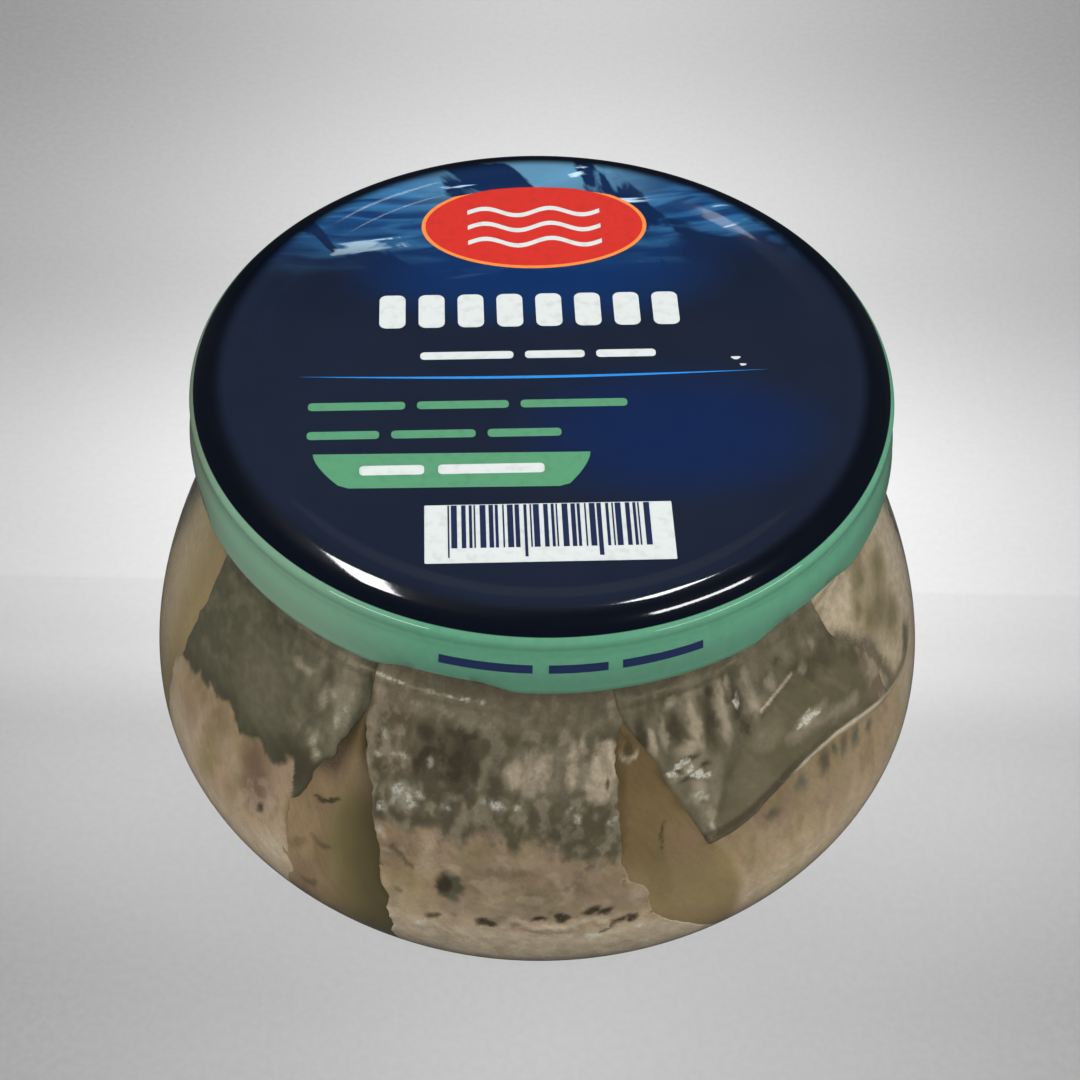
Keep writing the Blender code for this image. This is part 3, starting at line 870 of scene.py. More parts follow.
def build_lid():
    """The printed lid, whose parts are returned as a collection."""
    lid = turned("lid_shell", lid_profile(), LID_STEPS, lid_material(), lug_warp)
    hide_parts("lid")
    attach(lid, "root")

    inks = {name: ink_material(f"ink_{name}", srgb(*colour)) for name, colour in INKS.items()}
    print_panel(inks)
    print_badge(inks)
    print_stripes(inks)
    print_chips(inks["white"])
    for index, (first, last) in enumerate(((-14.6, -0.6), (1.8, 10.6), (12.8, 25.4))):
        skirt_bar(f"skirt_bar_{index}", first, last, 62.1, 63.2, inks["navy"])

    parts = bpy.data.collections.new("lid_parts")
    for piece in bpy.context.scene.collection.objects:
        if piece.type == 'MESH' and piece.data.materials[0].name.startswith(("lid", "ink")):
            parts.objects.link(piece)
    return parts


def skirt_bar(name, first, last, low, high, ink):
    """A printed bar on the skirt, between two azimuths in degrees."""
    angles = np.radians(np.linspace(first, last, 14))
    points = []
    for lift in (0.0, 0.05):
        for height in (low, high):
            radius = SKIRT_TOP[0] + (SKIRT_TOP[1] - height) * SKIRT_SLOPE + lift
            points += [(radius * math.sin(a) * MM, -radius * math.cos(a) * MM, height * MM)
                       for a in angles]
    count = len(angles)
    faces = []
    for index in range(count - 1):
        rows = [index, count + index, 3 * count + index, 2 * count + index]
        for corner in range(4):
            start, end = rows[corner], rows[(corner + 1) % 4]
            faces.append([start, end, end + 1, start + 1])
    faces += [[0, count, 3 * count, 2 * count],
              [count - 1, 2 * count - 1, 4 * count - 1, 3 * count - 1]]
    obj = outward(add_mesh(name, points, faces, ink, smooth=False))
    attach(obj, "root")


# Masks on the fillet pieces, by azimuth in degrees and height in mm


def noise(x, y, seed):
    """Smooth noise between -1 and 1, with about one bump in each unit."""
    table = np.random.default_rng(seed).uniform(-1, 1, (64, 64))
    x0 = np.floor(x).astype(int)
    y0 = np.floor(y).astype(int)
    fx = smoothstep(x - x0, 0, 1)
    fy = smoothstep(y - y0, 0, 1)

    def at(i, j):
        return table[(x0 + i) % 64, (y0 + j) % 64]

    low = at(0, 0) * (1 - fx) + at(1, 0) * fx
    high = at(0, 1) * (1 - fx) + at(1, 1) * fx
    return low * (1 - fy) + high * fy


def fractal(x, y, seed, octaves=4):
    """Noise with ever finer and fainter detail."""
    total = np.zeros_like(x)
    weight = 1.0
    for octave in range(octaves):
        total += weight * noise(x * 2 ** octave + 7.3 * octave, y * 2 ** octave, seed + octave)
        weight *= 0.5
    return total


def keyed(value, keys):
    """The line through (place, amount) keys, read at value."""
    places, amounts = zip(*keys)
    return np.interp(value, places, amounts)


class Patch:
    """Azimuths and heights of a piece's front, and the masks drawn on it.

    inset_x is the way in mm to the nearer of the piece's left and right edges.
    """

    def __init__(self, azimuth, height, inset_x, seed):
        self.azimuth = azimuth
        self.height = height
        self.inset_x = inset_x
        self.seed = seed
        self.arc = azimuth * DEGREE
        wobble_x = fractal(self.arc * 0.9, height * 0.9, seed + 40) * 0.35
        wobble_y = fractal(self.arc * 0.9, height * 0.9, seed + 50) * 0.35
        self.x = self.arc + wobble_x
        self.y = height + wobble_y
        self.mask = {name: np.zeros_like(azimuth) for name in MASKS}

    def cloud(self, width, height, shift=0):
        """Noise whose bumps have that width and height in mm, from 0 to 1."""
        value = fractal(self.arc / width, self.height / height, self.seed + shift)
        return np.clip(0.5 + 0.5 * value, 0, 1)

    def above(self, low, high):
        """From 0 below one height to 1 above the other."""
        return smoothstep(self.height, low, high)

    def below(self, low, high):
        return 1 - smoothstep(self.height, low, high)

    def right_of(self, first, last):
        """From 0 left of one azimuth to 1 right of the other."""
        return smoothstep(self.azimuth, first, last)

    def left_of(self, first, last):
        return 1 - smoothstep(self.azimuth, first, last)

    def near_side(self, reach):
        """From 1 at the piece's left and right edges to 0 at reach mm from them."""
        return 1 - smoothstep(self.inset_x, 0, reach)

    def flecks(self, width, height, shift, low, high):
        """The peaks of a cloud, from 0 at low to 1 at high."""
        return smoothstep(self.cloud(width, height, shift), low, high)

    def put(self, name, amount):
        """Put an amount, a number or one for each point, over what the mask holds."""
        self.mask[name] = np.clip(np.maximum(self.mask[name], amount), 0, 1)

    def fill(self, **amounts):
        """Put an amount on each of the masks named."""
        for name, amount in amounts.items():
            self.put(name, amount)

    def clear(self, name, amount):
        self.mask[name] = np.clip(self.mask[name] * (1 - amount), 0, 1)

    def blob(self, azimuth, height, wide, tall, soft=0.5, turn=0.0):
        """A soft oval about a point, wide by tall mm."""
        dx = self.x - azimuth * DEGREE
        dy = self.y - height
        cos, sin = math.cos(math.radians(turn)), math.sin(math.radians(turn))
        across = (dx * cos + dy * sin) / (wide / 2)
        along = (-dx * sin + dy * cos) / (tall / 2)
        return 1 - smoothstep(np.hypot(across, along), 1 - soft, 1 + soft)

    def dots(self, name, amount, places, soft=0.5, turn=0.0):
        """Ovals at (azimuth, height, width, height of the oval)."""
        for azimuth, height, wide, tall in places:
            self.put(name, amount * self.blob(azimuth, height, wide, tall, soft, turn))

    def spots(self, share, *ovals):
        """Ovals of (mask, amount, azimuth, height, width, height of the oval, softness, turn).

        share scales all the amounts, and the turn may be left out.
        """
        for name, amount, *place in ovals:
            self.put(name, amount * share * self.blob(*place))

    def stroke(self, keys, width, soft=0.5, steady=False):
        """A soft line through (azimuth, height) points, width mm wide, or a steady one."""
        x, y = (self.arc, self.height) if steady else (self.x, self.y)
        far = np.full_like(x, 1e6)
        for (a0, h0), (a1, h1) in zip(keys, keys[1:]):
            start = np.array((a0 * DEGREE, h0))
            run = np.array((a1 * DEGREE, h1)) - start
            px, py = x - start[0], y - start[1]
            t = np.clip((px * run[0] + py * run[1]) / (run @ run), 0, 1)
            far = np.minimum(far, np.hypot(px - t * run[0], py - t * run[1]))
        return 1 - smoothstep(far / (width / 2), 1 - soft, 1 + soft)

    def draw(self, name, amount, keys, width, soft=0.5, steady=False):
        """Put a stroke on a mask."""
        self.put(name, amount * self.stroke(keys, width, soft, steady))


class Wall:
    """The jar's inside as a track: an azimuth, a height on it and a depth behind it.

    What lies deeper also lies a little lower.
    """

    def __init__(self):
        points = inner_wall(WALL_STEPS)[::-1]
        self.radius, self.height = points[:, 0], points[:, 1]
        run = np.gradient(points, axis=0)
        run /= np.hypot(run[:, 0], run[:, 1])[:, None]
        self.normal_r, self.normal_z = -run[:, 1], run[:, 0]

    def points(self, azimuth, height, depth):
        radius = np.interp(height, self.height, self.radius)
        radius = radius + np.interp(height, self.height, self.normal_r) * depth
        lifted = height + (np.interp(height, self.height, self.normal_z) - SAG) * depth
        angle = np.radians(azimuth)
        return np.stack([radius * np.sin(angle), -radius * np.cos(angle), lifted], -1) * MM


def piece_mesh(wall, azimuth, height, front, depth, thick):
    """Points and faces of a piece, and its rim as rows and columns of the front's grid."""
    rows, columns = height.shape
    ring = ([(0, c) for c in range(columns)] + [(r, columns - 1) for r in range(1, rows)]
            + [(rows - 1, c) for c in range(columns - 2, -1, -1)]
            + [(r, 0) for r in range(rows - 2, 0, -1)])
    rim = tuple(np.array(ring).T)
    index = np.arange(rows * columns).reshape(rows, columns)
    faces = np.stack([index[:-1, :-1], index[:-1, 1:], index[1:, 1:], index[1:, :-1]], -1)
    faces = faces.reshape(-1, 4).tolist()
    layers = [wall.points(azimuth, height, front).reshape(-1, 3)]
    middle_a, middle_h = azimuth[rim].mean(), height[rim].mean()
    loop = index[rim].tolist()
    total, count = height.size, len(ring)
    for share, drawn in BACK_RINGS:
        ring_a = azimuth[rim] + (middle_a - azimuth[rim]) * drawn
        ring_h = height[rim] + (middle_h - height[rim]) * drawn
        layers.append(wall.points(ring_a, ring_h, np.maximum(front[rim], depth) + thick * share))
        after = list(range(total, total + count))
        for i in range(count):
            j = (i + 1) % count
            faces.append([loop[i], after[i], after[j], loop[j]])
        loop = after
        total += count
    layers.append(wall.points(np.array([middle_a]), np.array([middle_h]), thick * 1.3))
    faces += [[loop[i], total, loop[(i + 1) % count]] for i in range(count)]
    return np.vstack(layers), faces, rim


def wall_piece(name, wall, material, left, right, foot, head, paint, seed,
               depth=0.12, thick=3.6, edge=0.3, grid=0.3, ragged=0.3):
    """A closed fillet piece against the glass.

    left and right are (height, azimuth) keys, foot and head are (share of width, height) keys.
    """
    tall = keyed(0.5, head) - keyed(0.5, foot)
    wide = (keyed(35, right) - keyed(35, left)) * DEGREE
    columns = max(int(abs(wide) / grid), 12)
    rows = max(int(tall / grid), 12)
    u, v = np.meshgrid(np.linspace(0, 1, columns), np.linspace(0, 1, rows))
    low = keyed(u, foot) + ragged * fractal(u * wide * 0.6, u * 0, seed + 1) * 1.2
    high = keyed(u, head) + ragged * fractal(u * wide * 0.6, u * 0, seed + 2)
    height = low + (high - low) * v
    start = keyed(height, left) + ragged * fractal(height * 0.6, height * 0, seed + 3) / DEGREE
    end = keyed(height, right) + ragged * fractal(height * 0.6, height * 0, seed + 4) / DEGREE
    azimuth = start + (end - start) * u

    inset_x = np.minimum(azimuth - start, end - azimuth) * DEGREE
    inset_y = np.minimum(height - low, high - height)
    inset = np.clip(np.minimum(inset_x, inset_y) / edge, 0, 1)
    rounding = 1 - np.sqrt(1 - (1 - inset) ** 2)
    patch = Patch(azimuth, height, inset_x, seed)
    relief = 0.22 * patch.cloud(7, 9, 60) + 0.08 * patch.cloud(1.4, 2.2, 70)
    extra = paint(patch)
    neck(patch)
    front = depth + relief + rounding * edge + extra
    points, faces, rim = piece_mesh(wall, azimuth, height, front, depth, thick)

    attributes = {}
    for key in MASKS:
        values = patch.mask[key]
        attributes[key] = np.concatenate([values.ravel(), np.tile(values[rim], len(BACK_RINGS)), [0.0]])
    track = np.stack([patch.arc.ravel(), height.ravel(), np.full(height.size, seed * 3.1)], 1)
    attributes["wall"] = np.vstack([track, np.zeros((len(points) - height.size, 3))])
    obj = add_mesh(name, points.tolist(), faces, material, attributes)
    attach(outward(obj), "root")


def neck(patch):
    """The darker band under the lid, painted shade, with a pale line at the oil's edge, a painted highlight.
    """
    band = patch.above(47.5, 49.5)
    patch.fill(pink=0.4 * band * patch.flecks(2.6, 1.6, 81, 0.4, 0.7),
               dark=0.34 * band * patch.flecks(1.8, 1.4, 82, 0.45, 0.7),
               warm=0.7 * patch.above(50.6, 51.6))
    patch.fill(dark=0.4 * patch.above(51.2, 52.0))
    patch.fill(dark=0.42 * (1 - smoothstep(np.abs(patch.height - 50.4), 0.1, 0.45)))
    line = 1 - smoothstep(np.abs(patch.height - 51.15 - 0.1 * patch.cloud(4, 90)), 0.05, 0.26)
    front = 0.3 + 0.7 * patch.blob(-20, 51.15, 17, 90, 0.6)
    patch.fill(pale=0.6 * line * front,
               silver=0.7 * line * smoothstep(front * patch.cloud(0.8, 50, 6), 0.45, 0.65))


def side_left(patch):
    """The smooth olive strip at the far left."""
    front = smoothstep(patch.azimuth + 5 * patch.cloud(5, 9, 3), -90, -83)
    patch.fill(olive=(1.0 - 0.35 * patch.cloud(7, 16)) * (0.3 + 0.7 * front),
               skin=0.9 * (1 - front) * smoothstep(patch.height - 6 * patch.cloud(3, 3, 9), 31, 33),
               pink=0.5 * (1 - front) * patch.flecks(4, 6, 14, 0.4, 0.8))
    # The broad pale spot is painted light on this far side
    patch.spots(1.0, ("pale", 0.46, -84, 36, 12, 26, 0.8), ("warm", 0.5, -79, 48, 9, 4, 0.9))
    patch.fill(shade=0.2 * smoothstep(-patch.height, -22, -14))
    patch.spots(1.0, ("shade", 0.25, -72, 28, 3, 10, 0.9))
    return 0.0


def left_piece(patch):
    """Dark skin over beige flesh, with a torn edge between them."""
    edge = keyed(patch.azimuth, ((-72, 31.8), (-70, 32.3), (-66, 33.3), (-62, 34.3), (-58, 34.9),
                                 (-55.5, 35.2), (-54.5, 36.1), (-53, 36.0), (-51.5, 34.6),
                                 (-50.3, 33.3), (-49.6, 34.4), (-48.5, 34.2), (-47, 34.9),
                                 (-45, 34.6), (-43, 34.1), (-41.5, 34.6), (-40, 35.8), (-39, 36.3),
                                 (-38.4, 35.0), (-38.2, 33.0), (-37.7, 31.2), (-36.6, 30.6),
                                 (-35, 30.0)))
    skin = smoothstep(patch.height - edge + 1.2 * (patch.cloud(1.1, 1.1, 9) - 0.5), -0.55, 0.55)
    patch.fill(skin=skin)
    above = patch.height - edge
    patch.fill(dark=0.36 * skin * (1 - smoothstep(above, 0.4, 3.2)))
    patch.fill(dark=0.10 * skin * patch.flecks(3.4, 2.6, 5, 0.45, 0.75),
               pale=0.09 * skin * patch.flecks(2.4, 2.0, 6, 0.5, 0.8) * smoothstep(above, 2, 5))
    patch.spots(skin, ("dark", 0.66, -38.6, 35.8, 7.5, 6, 0.8))
    patch.spots(1.0, ("dark", 0.5, -36.6, 48.2, 3.4, 3.0, 0.9))
    patch.spots(skin, ("pale", 0.12, -49, 42, 9, 8, 0.9), ("olive", 0.3, -61, 41, 12, 10, 0.9))

    # Pale film on the skin's right end, with painted glints and a pale glow round them
    film = patch.right_of(-44, -37) * skin * patch.above(37.5, 41)
    patch.fill(pale=0.42 * film * patch.cloud(1.5, 3.4, 12))
    patch.dots("pale", 0.42, ((-42, 47.4, 3.6, 1.4), (-36.8, 45.8, 1.3, 3.4), (-34.4, 46.9, 3.0, 1.5),
                              (-33.2, 43.6, 1.4, 3.2), (-36.4, 40.2, 1.5, 2.6), (-35.2, 38.6, 1.4, 1.8),
                              (-31.4, 45.2, 1.2, 3.0)), 0.7)
    patch.dots("dark", 0.3, ((-35.0, 44.9, 1.9, 2.6), (-38.4, 43.4, 1.8, 5.0), (-33.6, 41.2, 1.2, 2.2),
                             (-38.4, 38.6, 2.2, 2.6)), 0.6)
    patch.dots("silver", 0.3, ((-33.4, 43.9, 0.8, 1.5), (-36.3, 39.9, 0.9, 0.9), (-35.2, 39.0, 0.7, 0.7),
                               (-34.6, 46.6, 1.0, 0.5), (-32.4, 45.4, 0.6, 1.0)), 0.8)

    flesh = 1 - skin
    # Painted shade on the flesh under the skin, and painted light making the lower flesh paler
    patch.fill(shade=flesh * keyed(patch.height, ((23, 0), (29, 0.12), (33, 0.26), (37, 0.3))),
               pale=0.6 * flesh * patch.below(19, 25))
    patch.fill(pale=0.5 * flesh * patch.left_of(-67, -60) * patch.below(24, 29))
    patch.spots(flesh, ("olive", 0.62, -56.5, 27, 3.6, 17, 0.8, -8),
                ("olive", 0.45, -49.5, 24, 3.0, 12, 0.9, -10), ("olive", 0.4, -63, 33, 7, 2.4, 0.9, 12),
                ("olive", 0.5, -71, 27, 2.2, 12, 0.9))
    patch.clear("pale", 0.8 * patch.blob(-45.6, 30.4, 6, 10, 0.6, 12))
    patch.spots(flesh, ("pink", 1.0, -45.6, 30.2, 5.6, 10.5, 0.6, 12), ("pink", 0.4, -64, 27, 5, 10, 0.8),
                ("pink", 0.35, -54, 32.6, 3, 3, 0.8), ("pale", 0.6, -64, 22.5, 9, 7, 0.9),
                ("pale", 0.9, -40, 21.0, 6.5, 7.5, 0.8, -30), ("pale", 0.35, -51, 29.5, 5, 3, 0.9))
    patch.fill(pink=0.35 * flesh * patch.flecks(2.0, 3.6, 33, 0.55, 0.8),
               pale=0.35 * flesh * patch.flecks(1.7, 3.2, 37, 0.58, 0.8))
    patch.spots(1.0, ("dark", 0.9, -43.5, 26.3, 1.0, 1.9, 0.5, -25))
    right_edge = patch.near_side(1.5) * patch.right_of(-50, -45)
    # Painted shade along the top of the right edge, in the seam
    upper = right_edge * patch.above(42, 45)
    patch.fill(warm=0.5 * upper, dark=0.4 * upper)
    fade = right_edge * patch.above(23, 27) * patch.below(36, 38)
    patch.clear("pale", 0.8 * fade)
    patch.fill(olive=0.3 * fade, warm=0.4 * fade, shade=0.35 * patch.below(14.5, 17.5))
    return 0.22 * flesh


def left_gap(patch):
    """Flesh of a deeper piece, bright at its left and in shadow at its right."""
    right = keyed(patch.height, ((14, -19.5), (20, -20), (24, -20.5), (28, -22), (34, -23.5),
                                 (39, -25), (42, -26.5), (47, -28)))
    left = keyed(patch.height, ((14, -35), (22, -36.5), (28, -37.5), (32, -37), (36, -35),
                                (40, -32.5), (46, -29.5)))
    share = np.clip((patch.azimuth - left) / np.maximum(right - left, 0.5), 0, 1)
    upper = patch.above(33, 40)
    patch.fill(olive=smoothstep(share, 0.3, 0.6) * (0.85 - 0.6 * upper),
               skin=0.12 * smoothstep(share, 0.3, 0.6) * (1 - upper),
               warm=0.35 + 0.35 * patch.cloud(2, 5) * (1 - smoothstep(share, 0.4, 0.7)))
    patch.fill(warm=0.9 * patch.above(39, 43),
               pink=0.4 * (1 - smoothstep(share, 0.2, 0.5)) * patch.cloud(2.4, 4, 8))
    depth = keyed(share, ((0, 0.0), (0.32, 0.08), (0.55, 0.4), (0.75, 0.7), (1, 0.82)))
    patch.fill(shade=depth * (1 - 0.5 * patch.above(33, 40)))
    patch.fill(shade=0.34 * patch.above(37, 44))
    # Painted shade at the top of the gap's left side
    beside = 1 - smoothstep(share, 0.15, 0.55)
    patch.fill(dark=0.85 * beside * patch.above(35, 39), shade=0.5 * patch.below(14.5, 17.5))
    patch.draw("dark", 0.95, ((-33.4, 33.4), (-32, 33.9), (-30.3, 34.6)), 0.55)
    patch.spots(1.0, ("pink", 0.6, -28.8, 43.6, 2.0, 7, 0.8, -14))
    patch.draw("dark", 0.5, ((-33.4, 27.7), (-32.2, 27.1), (-30.6, 27.5)), 0.7, 0.8)
    patch.draw("dark", 0.5, ((-34.6, 19.3), (-33.4, 19.4), (-32.6, 20.3)), 0.6, 0.8)
    patch.draw("pink", 0.7, ((-37, 24.6), (-35, 26.2)), 1.2, 0.9)
    return 0.7 * smoothstep(share, 0.5, 1.0)


def middle_skin(patch, skin):
    """Mottled skin with darker blots, a pinkish left edge and a dull patch beside it."""
    mottle = patch.cloud(1.3, 2.0, 21)
    patch.fill(skin=0.9 * skin, pale=0.34 * skin * smoothstep(mottle, 0.5, 0.8),
               dark=0.18 * skin + 0.26 * skin * (1 - smoothstep(mottle, 0.25, 0.55)))
    left_top = patch.above(38.5, 41) * patch.left_of(-21, -18)
    patch.fill(pink=0.4 * left_top)
    patch.clear("skin", 0.22 * left_top)
    patch.fill(pale=0.4 * left_top * patch.flecks(1.2, 1.6, 61, 0.5, 0.75))
    patch.spots(1.0, ("dark", 0.4, -25.2, 45.4, 1.8, 4.4, 0.8, -25),
                ("dark", 0.55, -6.2, 42.0, 3.6, 13, 0.9))
    patch.spots(skin, ("dark", 0.48, 4.0, 36.0, 20, 5.6, 0.9))
    patch.spots(1.0, ("dark", 0.26, -18.0, 30.6, 5, 5, 0.9), ("dark", 0.3, 2.0, 24.0, 18, 1.8, 0.9))
    patch.spots(skin, ("dark", 0.3, -19.0, 36.4, 8, 3.4, 0.9))
    patch.spots(1.0, ("dark", 0.45, -24.0, 47.4, 5, 4.0, 0.9), ("dark", 0.32, -1.0, 48.0, 10, 2.8, 0.9))
    # Painted shade along the top of the left edge, in the seam
    left_edge = patch.near_side(1.8) * patch.left_of(-20, -15)
    patch.fill(warm=0.5 * left_edge * patch.above(41, 44),
               dark=0.4 * left_edge * patch.above(41, 44))
    band = patch.above(47.4, 48.8)
    patch.fill(pale=0.24 * band * (0.6 + 0.6 * patch.cloud(1.6, 1.6, 63)))
    patch.dots("pale", 0.5, ((-26.6, 49.4, 2.2, 1.4), (-20, 49.6, 2.6, 1.4), (-14.4, 49.4, 1.8, 1.0)), 0.8)

    dull = patch.right_of(-20.6, -18.6) * patch.left_of(-9.0, -7.8)
    dull = dull * patch.above(39.6, 42.4) * patch.below(47.0, 48.6)
    patch.clear("pale", 0.9 * dull)
    patch.fill(dark=dull * (0.22 + 0.7 * patch.flecks(1.4, 2.2, 25, 0.3, 0.75)))
    patch.dots("dark", 0.8, ((-17.6, 46.6, 3.2, 2.2), (-11.4, 44.8, 4.0, 6.0), (-12.8, 47.2, 3.4, 1.6),
                              (-17.8, 43.4, 1.8, 3.4), (-9.2, 43.4, 1.8, 4.0)), 0.7)
    patch.dots("dark", 0.6, ((-6.5, 42.3, 2.6, 3.0), (-5.4, 44.4, 1.4, 1.0), (-24.6, 40.8, 2.4, 1.8),
                             (-12, 40.6, 2.6, 1.6), (-25.6, 44.0, 1.4, 1.4)), 0.6)
    patch.draw("pale", 0.4, ((-5.8, 47.0), (-7.2, 44.8), (-8.2, 41.4)), 1.1, 0.8)
    patch.spots(1.0, ("dark", 0.4, -9.4, 37.4, 1.3, 5.4, 0.7), ("dark", 0.5, 10.4, 36.6, 1.6, 5.0, 0.7, 8),
                ("dark", 0.42, 4.4, 43.0, 1.2, 4.4, 0.8), ("dark", 0.34, 4.4, 40.8, 6.4, 1.8, 0.8),
                ("dark", 0.3, 6.6, 36.6, 3.0, 3.0, 0.8))


def middle_glints(patch):
    """Pale spots at the upper right, and wet glitter where the skin folds: painted glints with a pale glow
    round them.
    """
    patch.spots(1.0, ("pale", 0.3, 3.0, 43.8, 12, 6, 0.6))
    patch.dots("pale", 0.9, ((-3.2, 43.2, 2.6, 3.6), (-0.6, 42.2, 3.4, 2.8), (0.8, 44.3, 3.8, 3.8),
                              (6.2, 45.2, 1.8, 4.6), (5.6, 42.8, 1.5, 2.6),
                              (8.8, 41.4, 2.0, 3.0), (7.6, 46.4, 1.2, 2.0)), 0.6)
    patch.dots("pale", 1.0, ((11.0, 43.8, 3.8, 5.6), (10.2, 41.4, 2.6, 3.4), (11.6, 46.0, 1.9, 2.4)), 0.4)
    patch.dots("pink", 0.25, ((10.8, 44.4, 3.0, 6.0),), 0.6)
    patch.spots(1.0, ("dark", 0.85, 11.3, 41.9, 0.6, 1.5, 0.5))
    # Pale glow round the painted glints
    patch.dots("pale", 0.42, ((-19.8, 38.8, 4.0, 2.2), (-18.8, 37.2, 2.8, 1.6), (-5.4, 39.2, 2.6, 1.2),
                              (-2.6, 39.1, 2.0, 1.2), (-22.9, 33.0, 1.4, 1.2), (6.4, 38.0, 1.2, 1.0),
                              (-12.2, 39.6, 2.2, 1.2), (-21.6, 43.2, 2.2, 1.0),
                              (-25.4, 42.6, 1.2, 1.0)), 0.8)
    patch.spots(1.0, ("silver", 0.3, -20.0, 38.7, 2.4, 2.4, 0.9))
    patch.dots("silver", 0.62, ((-20.6, 39.2, 1.6, 1.0), (-19.4, 38.2, 1.2, 1.4), (-18.5, 37.6, 1.3, 0.8),
                                (-21.4, 38.6, 0.8, 1.2), (-17.4, 38.8, 0.8, 0.8), (-5.7, 39.3, 1.6, 0.8),
                                (-2.6, 39.2, 0.9, 0.7), (6.6, 37.9, 0.8, 0.8), (-23.1, 36.2, 1.1, 1.2)), 0.6)
    patch.dots("silver", 0.36, ((-21.2, 37.6, 0.8, 0.8), (-13.2, 38.5, 1.2, 0.7), (-7.6, 39.9, 0.8, 0.7),
                                (5.3, 39.0, 0.8, 0.6), (11.5, 37.2, 1.1, 0.8), (-24.6, 45.0, 0.9, 0.8),
                                (-22.4, 43.2, 1.3, 0.7), (-25.4, 42.6, 0.9, 0.8), (-22.9, 33.1, 1.0, 1.0),
                                (-16.6, 43.4, 0.6, 1.4), (-20.9, 43.3, 0.9, 0.7)), 0.8)


def middle_flesh(patch, flesh):
    """Pinkish flesh, greyish at its upper right, and pale along the foot with painted light."""
    grey = patch.right_of(-15, -9) * patch.above(22.8, 25.5)
    patch.fill(skin=flesh * grey * (0.36 + 0.2 * patch.cloud(3.0, 1.8, 53)),
               pale=0.3 * flesh * patch.below(23, 28))
    patch.fill(skin=0.2 * patch.below(14.8, 17.0) * patch.cloud(1.6, 1.8, 52),
               pale=0.85 * patch.below(20.5, 23.0))
    patch.spots(flesh, ("skin", 0.4, -21.5, 30.4, 3.4, 3.0, 0.8), ("olive", 0.5, -17.0, 26, 8, 8, 0.7),
                ("pink", 0.6, -20.4, 32.2, 5.0, 4.2, 0.7), ("pink", 0.5, 14.6, 25.6, 3.2, 4.2, 0.6),
                ("pale", 0.45, 15.0, 26.4, 2.4, 3.4, 0.8))
    patch.spots(1.0, ("pale", 0.5, -15.6, 30.6, 1.8, 5.0, 0.8))
    patch.fill(pink=0.35 * flesh * patch.flecks(2.4, 2.2, 33, 0.55, 0.8),
               pale=0.3 * flesh * patch.flecks(2.2, 1.8, 37, 0.58, 0.8),
               dark=0.16 * flesh * patch.flecks(1.8, 1.6, 39, 0.5, 0.8))
    # Painted light on the flesh near the foot
    low = patch.below(20.6, 22.4)
    patch.fill(pale=0.5 * low * (0.6 + 0.4 * patch.cloud(3, 1.6, 41)))
    patch.fill(pale=0.9 * low * patch.right_of(-10, 2),
               pink=0.3 * low * patch.flecks(2.6, 2.0, 42, 0.4, 0.7))


def middle_marks(patch, thread):
    """The row of dark dots on the flesh, with a pale thread below it."""
    patch.clear("pale", patch.blob(-11.4, 27.6, 3.2, 4.2, 0.5))
    patch.spots(1.0, ("skin", 1.0, -11.4, 27.6, 3.2, 4.2, 0.4), ("dark", 0.95, -12.7, 27.8, 1.8, 3.4, 0.5),
                ("dark", 0.2, -10.4, 23.6, 1.0, 4.0, 0.8))
    patch.draw("dark", 0.62, ((-20.8, 31.2), (-19.2, 30.6), (-17.4, 29.6)), 0.9, 0.7)
    patch.dots("dark", 0.6, ((-22.5, 28.3, 1.0, 0.8), (-19.4, 25.0, 1.2, 1.1), (-17.6, 29.6, 0.9, 0.8)), 0.7)
    patch.draw("dark", 0.8, ((-14.6, 21.9), (-13.4, 22.8)), 0.8, 0.7)
    patch.dots("dark", 1.0, ((-6.9, 22.8, 2.0, 1.5), (-5.8, 22.6, 1.6, 1.1), (1.0, 24.0, 1.8, 0.9),
                             (4.2, 23.9, 2.0, 1.5), (8.4, 24.7, 2.0, 1.1), (10.2, 24.3, 2.2, 0.9),
                             (13.9, 22.4, 1.4, 1.3), (12.2, 22.7, 1.6, 0.7)), 0.5, 8)
    patch.spots(1.0, ("skin", 0.7, -4.4, 23.4, 1.8, 1.2, 0.6))
    patch.dots("dark", 0.45, ((-3.0, 22.6, 1.8, 0.9), (-1.4, 24.0, 1.0, 0.5), (-10.8, 23.2, 0.9, 0.6),
                              (17.6, 22.8, 1.6, 0.5), (2.6, 24.6, 0.9, 0.6), (6.2, 24.0, 0.9, 0.5)), 0.7)
    patch.draw("pale", 1.0, thread, 1.0, 0.7)
    patch.draw("dark", 0.75, ((9.4, 20.5), (10.8, 21.2), (11.6, 22.2), (13.2, 22.8)), 0.4, 0.8)
    patch.draw("dark", 0.35, ((-2.0, 21.8), (2.0, 21.2), (5.6, 21.3)), 0.4, 0.9)
    # Painted glints near the foot
    patch.dots("silver", 0.5, ((8.3, 20.0, 2.0, 1.3), (-15.7, 20.7, 1.0, 1.0), (15.6, 20.6, 1.0, 0.8),
                               (16.4, 17.4, 1.6, 0.8)), 0.8)
    patch.fill(shade=0.25 * patch.below(14.2, 16.0))


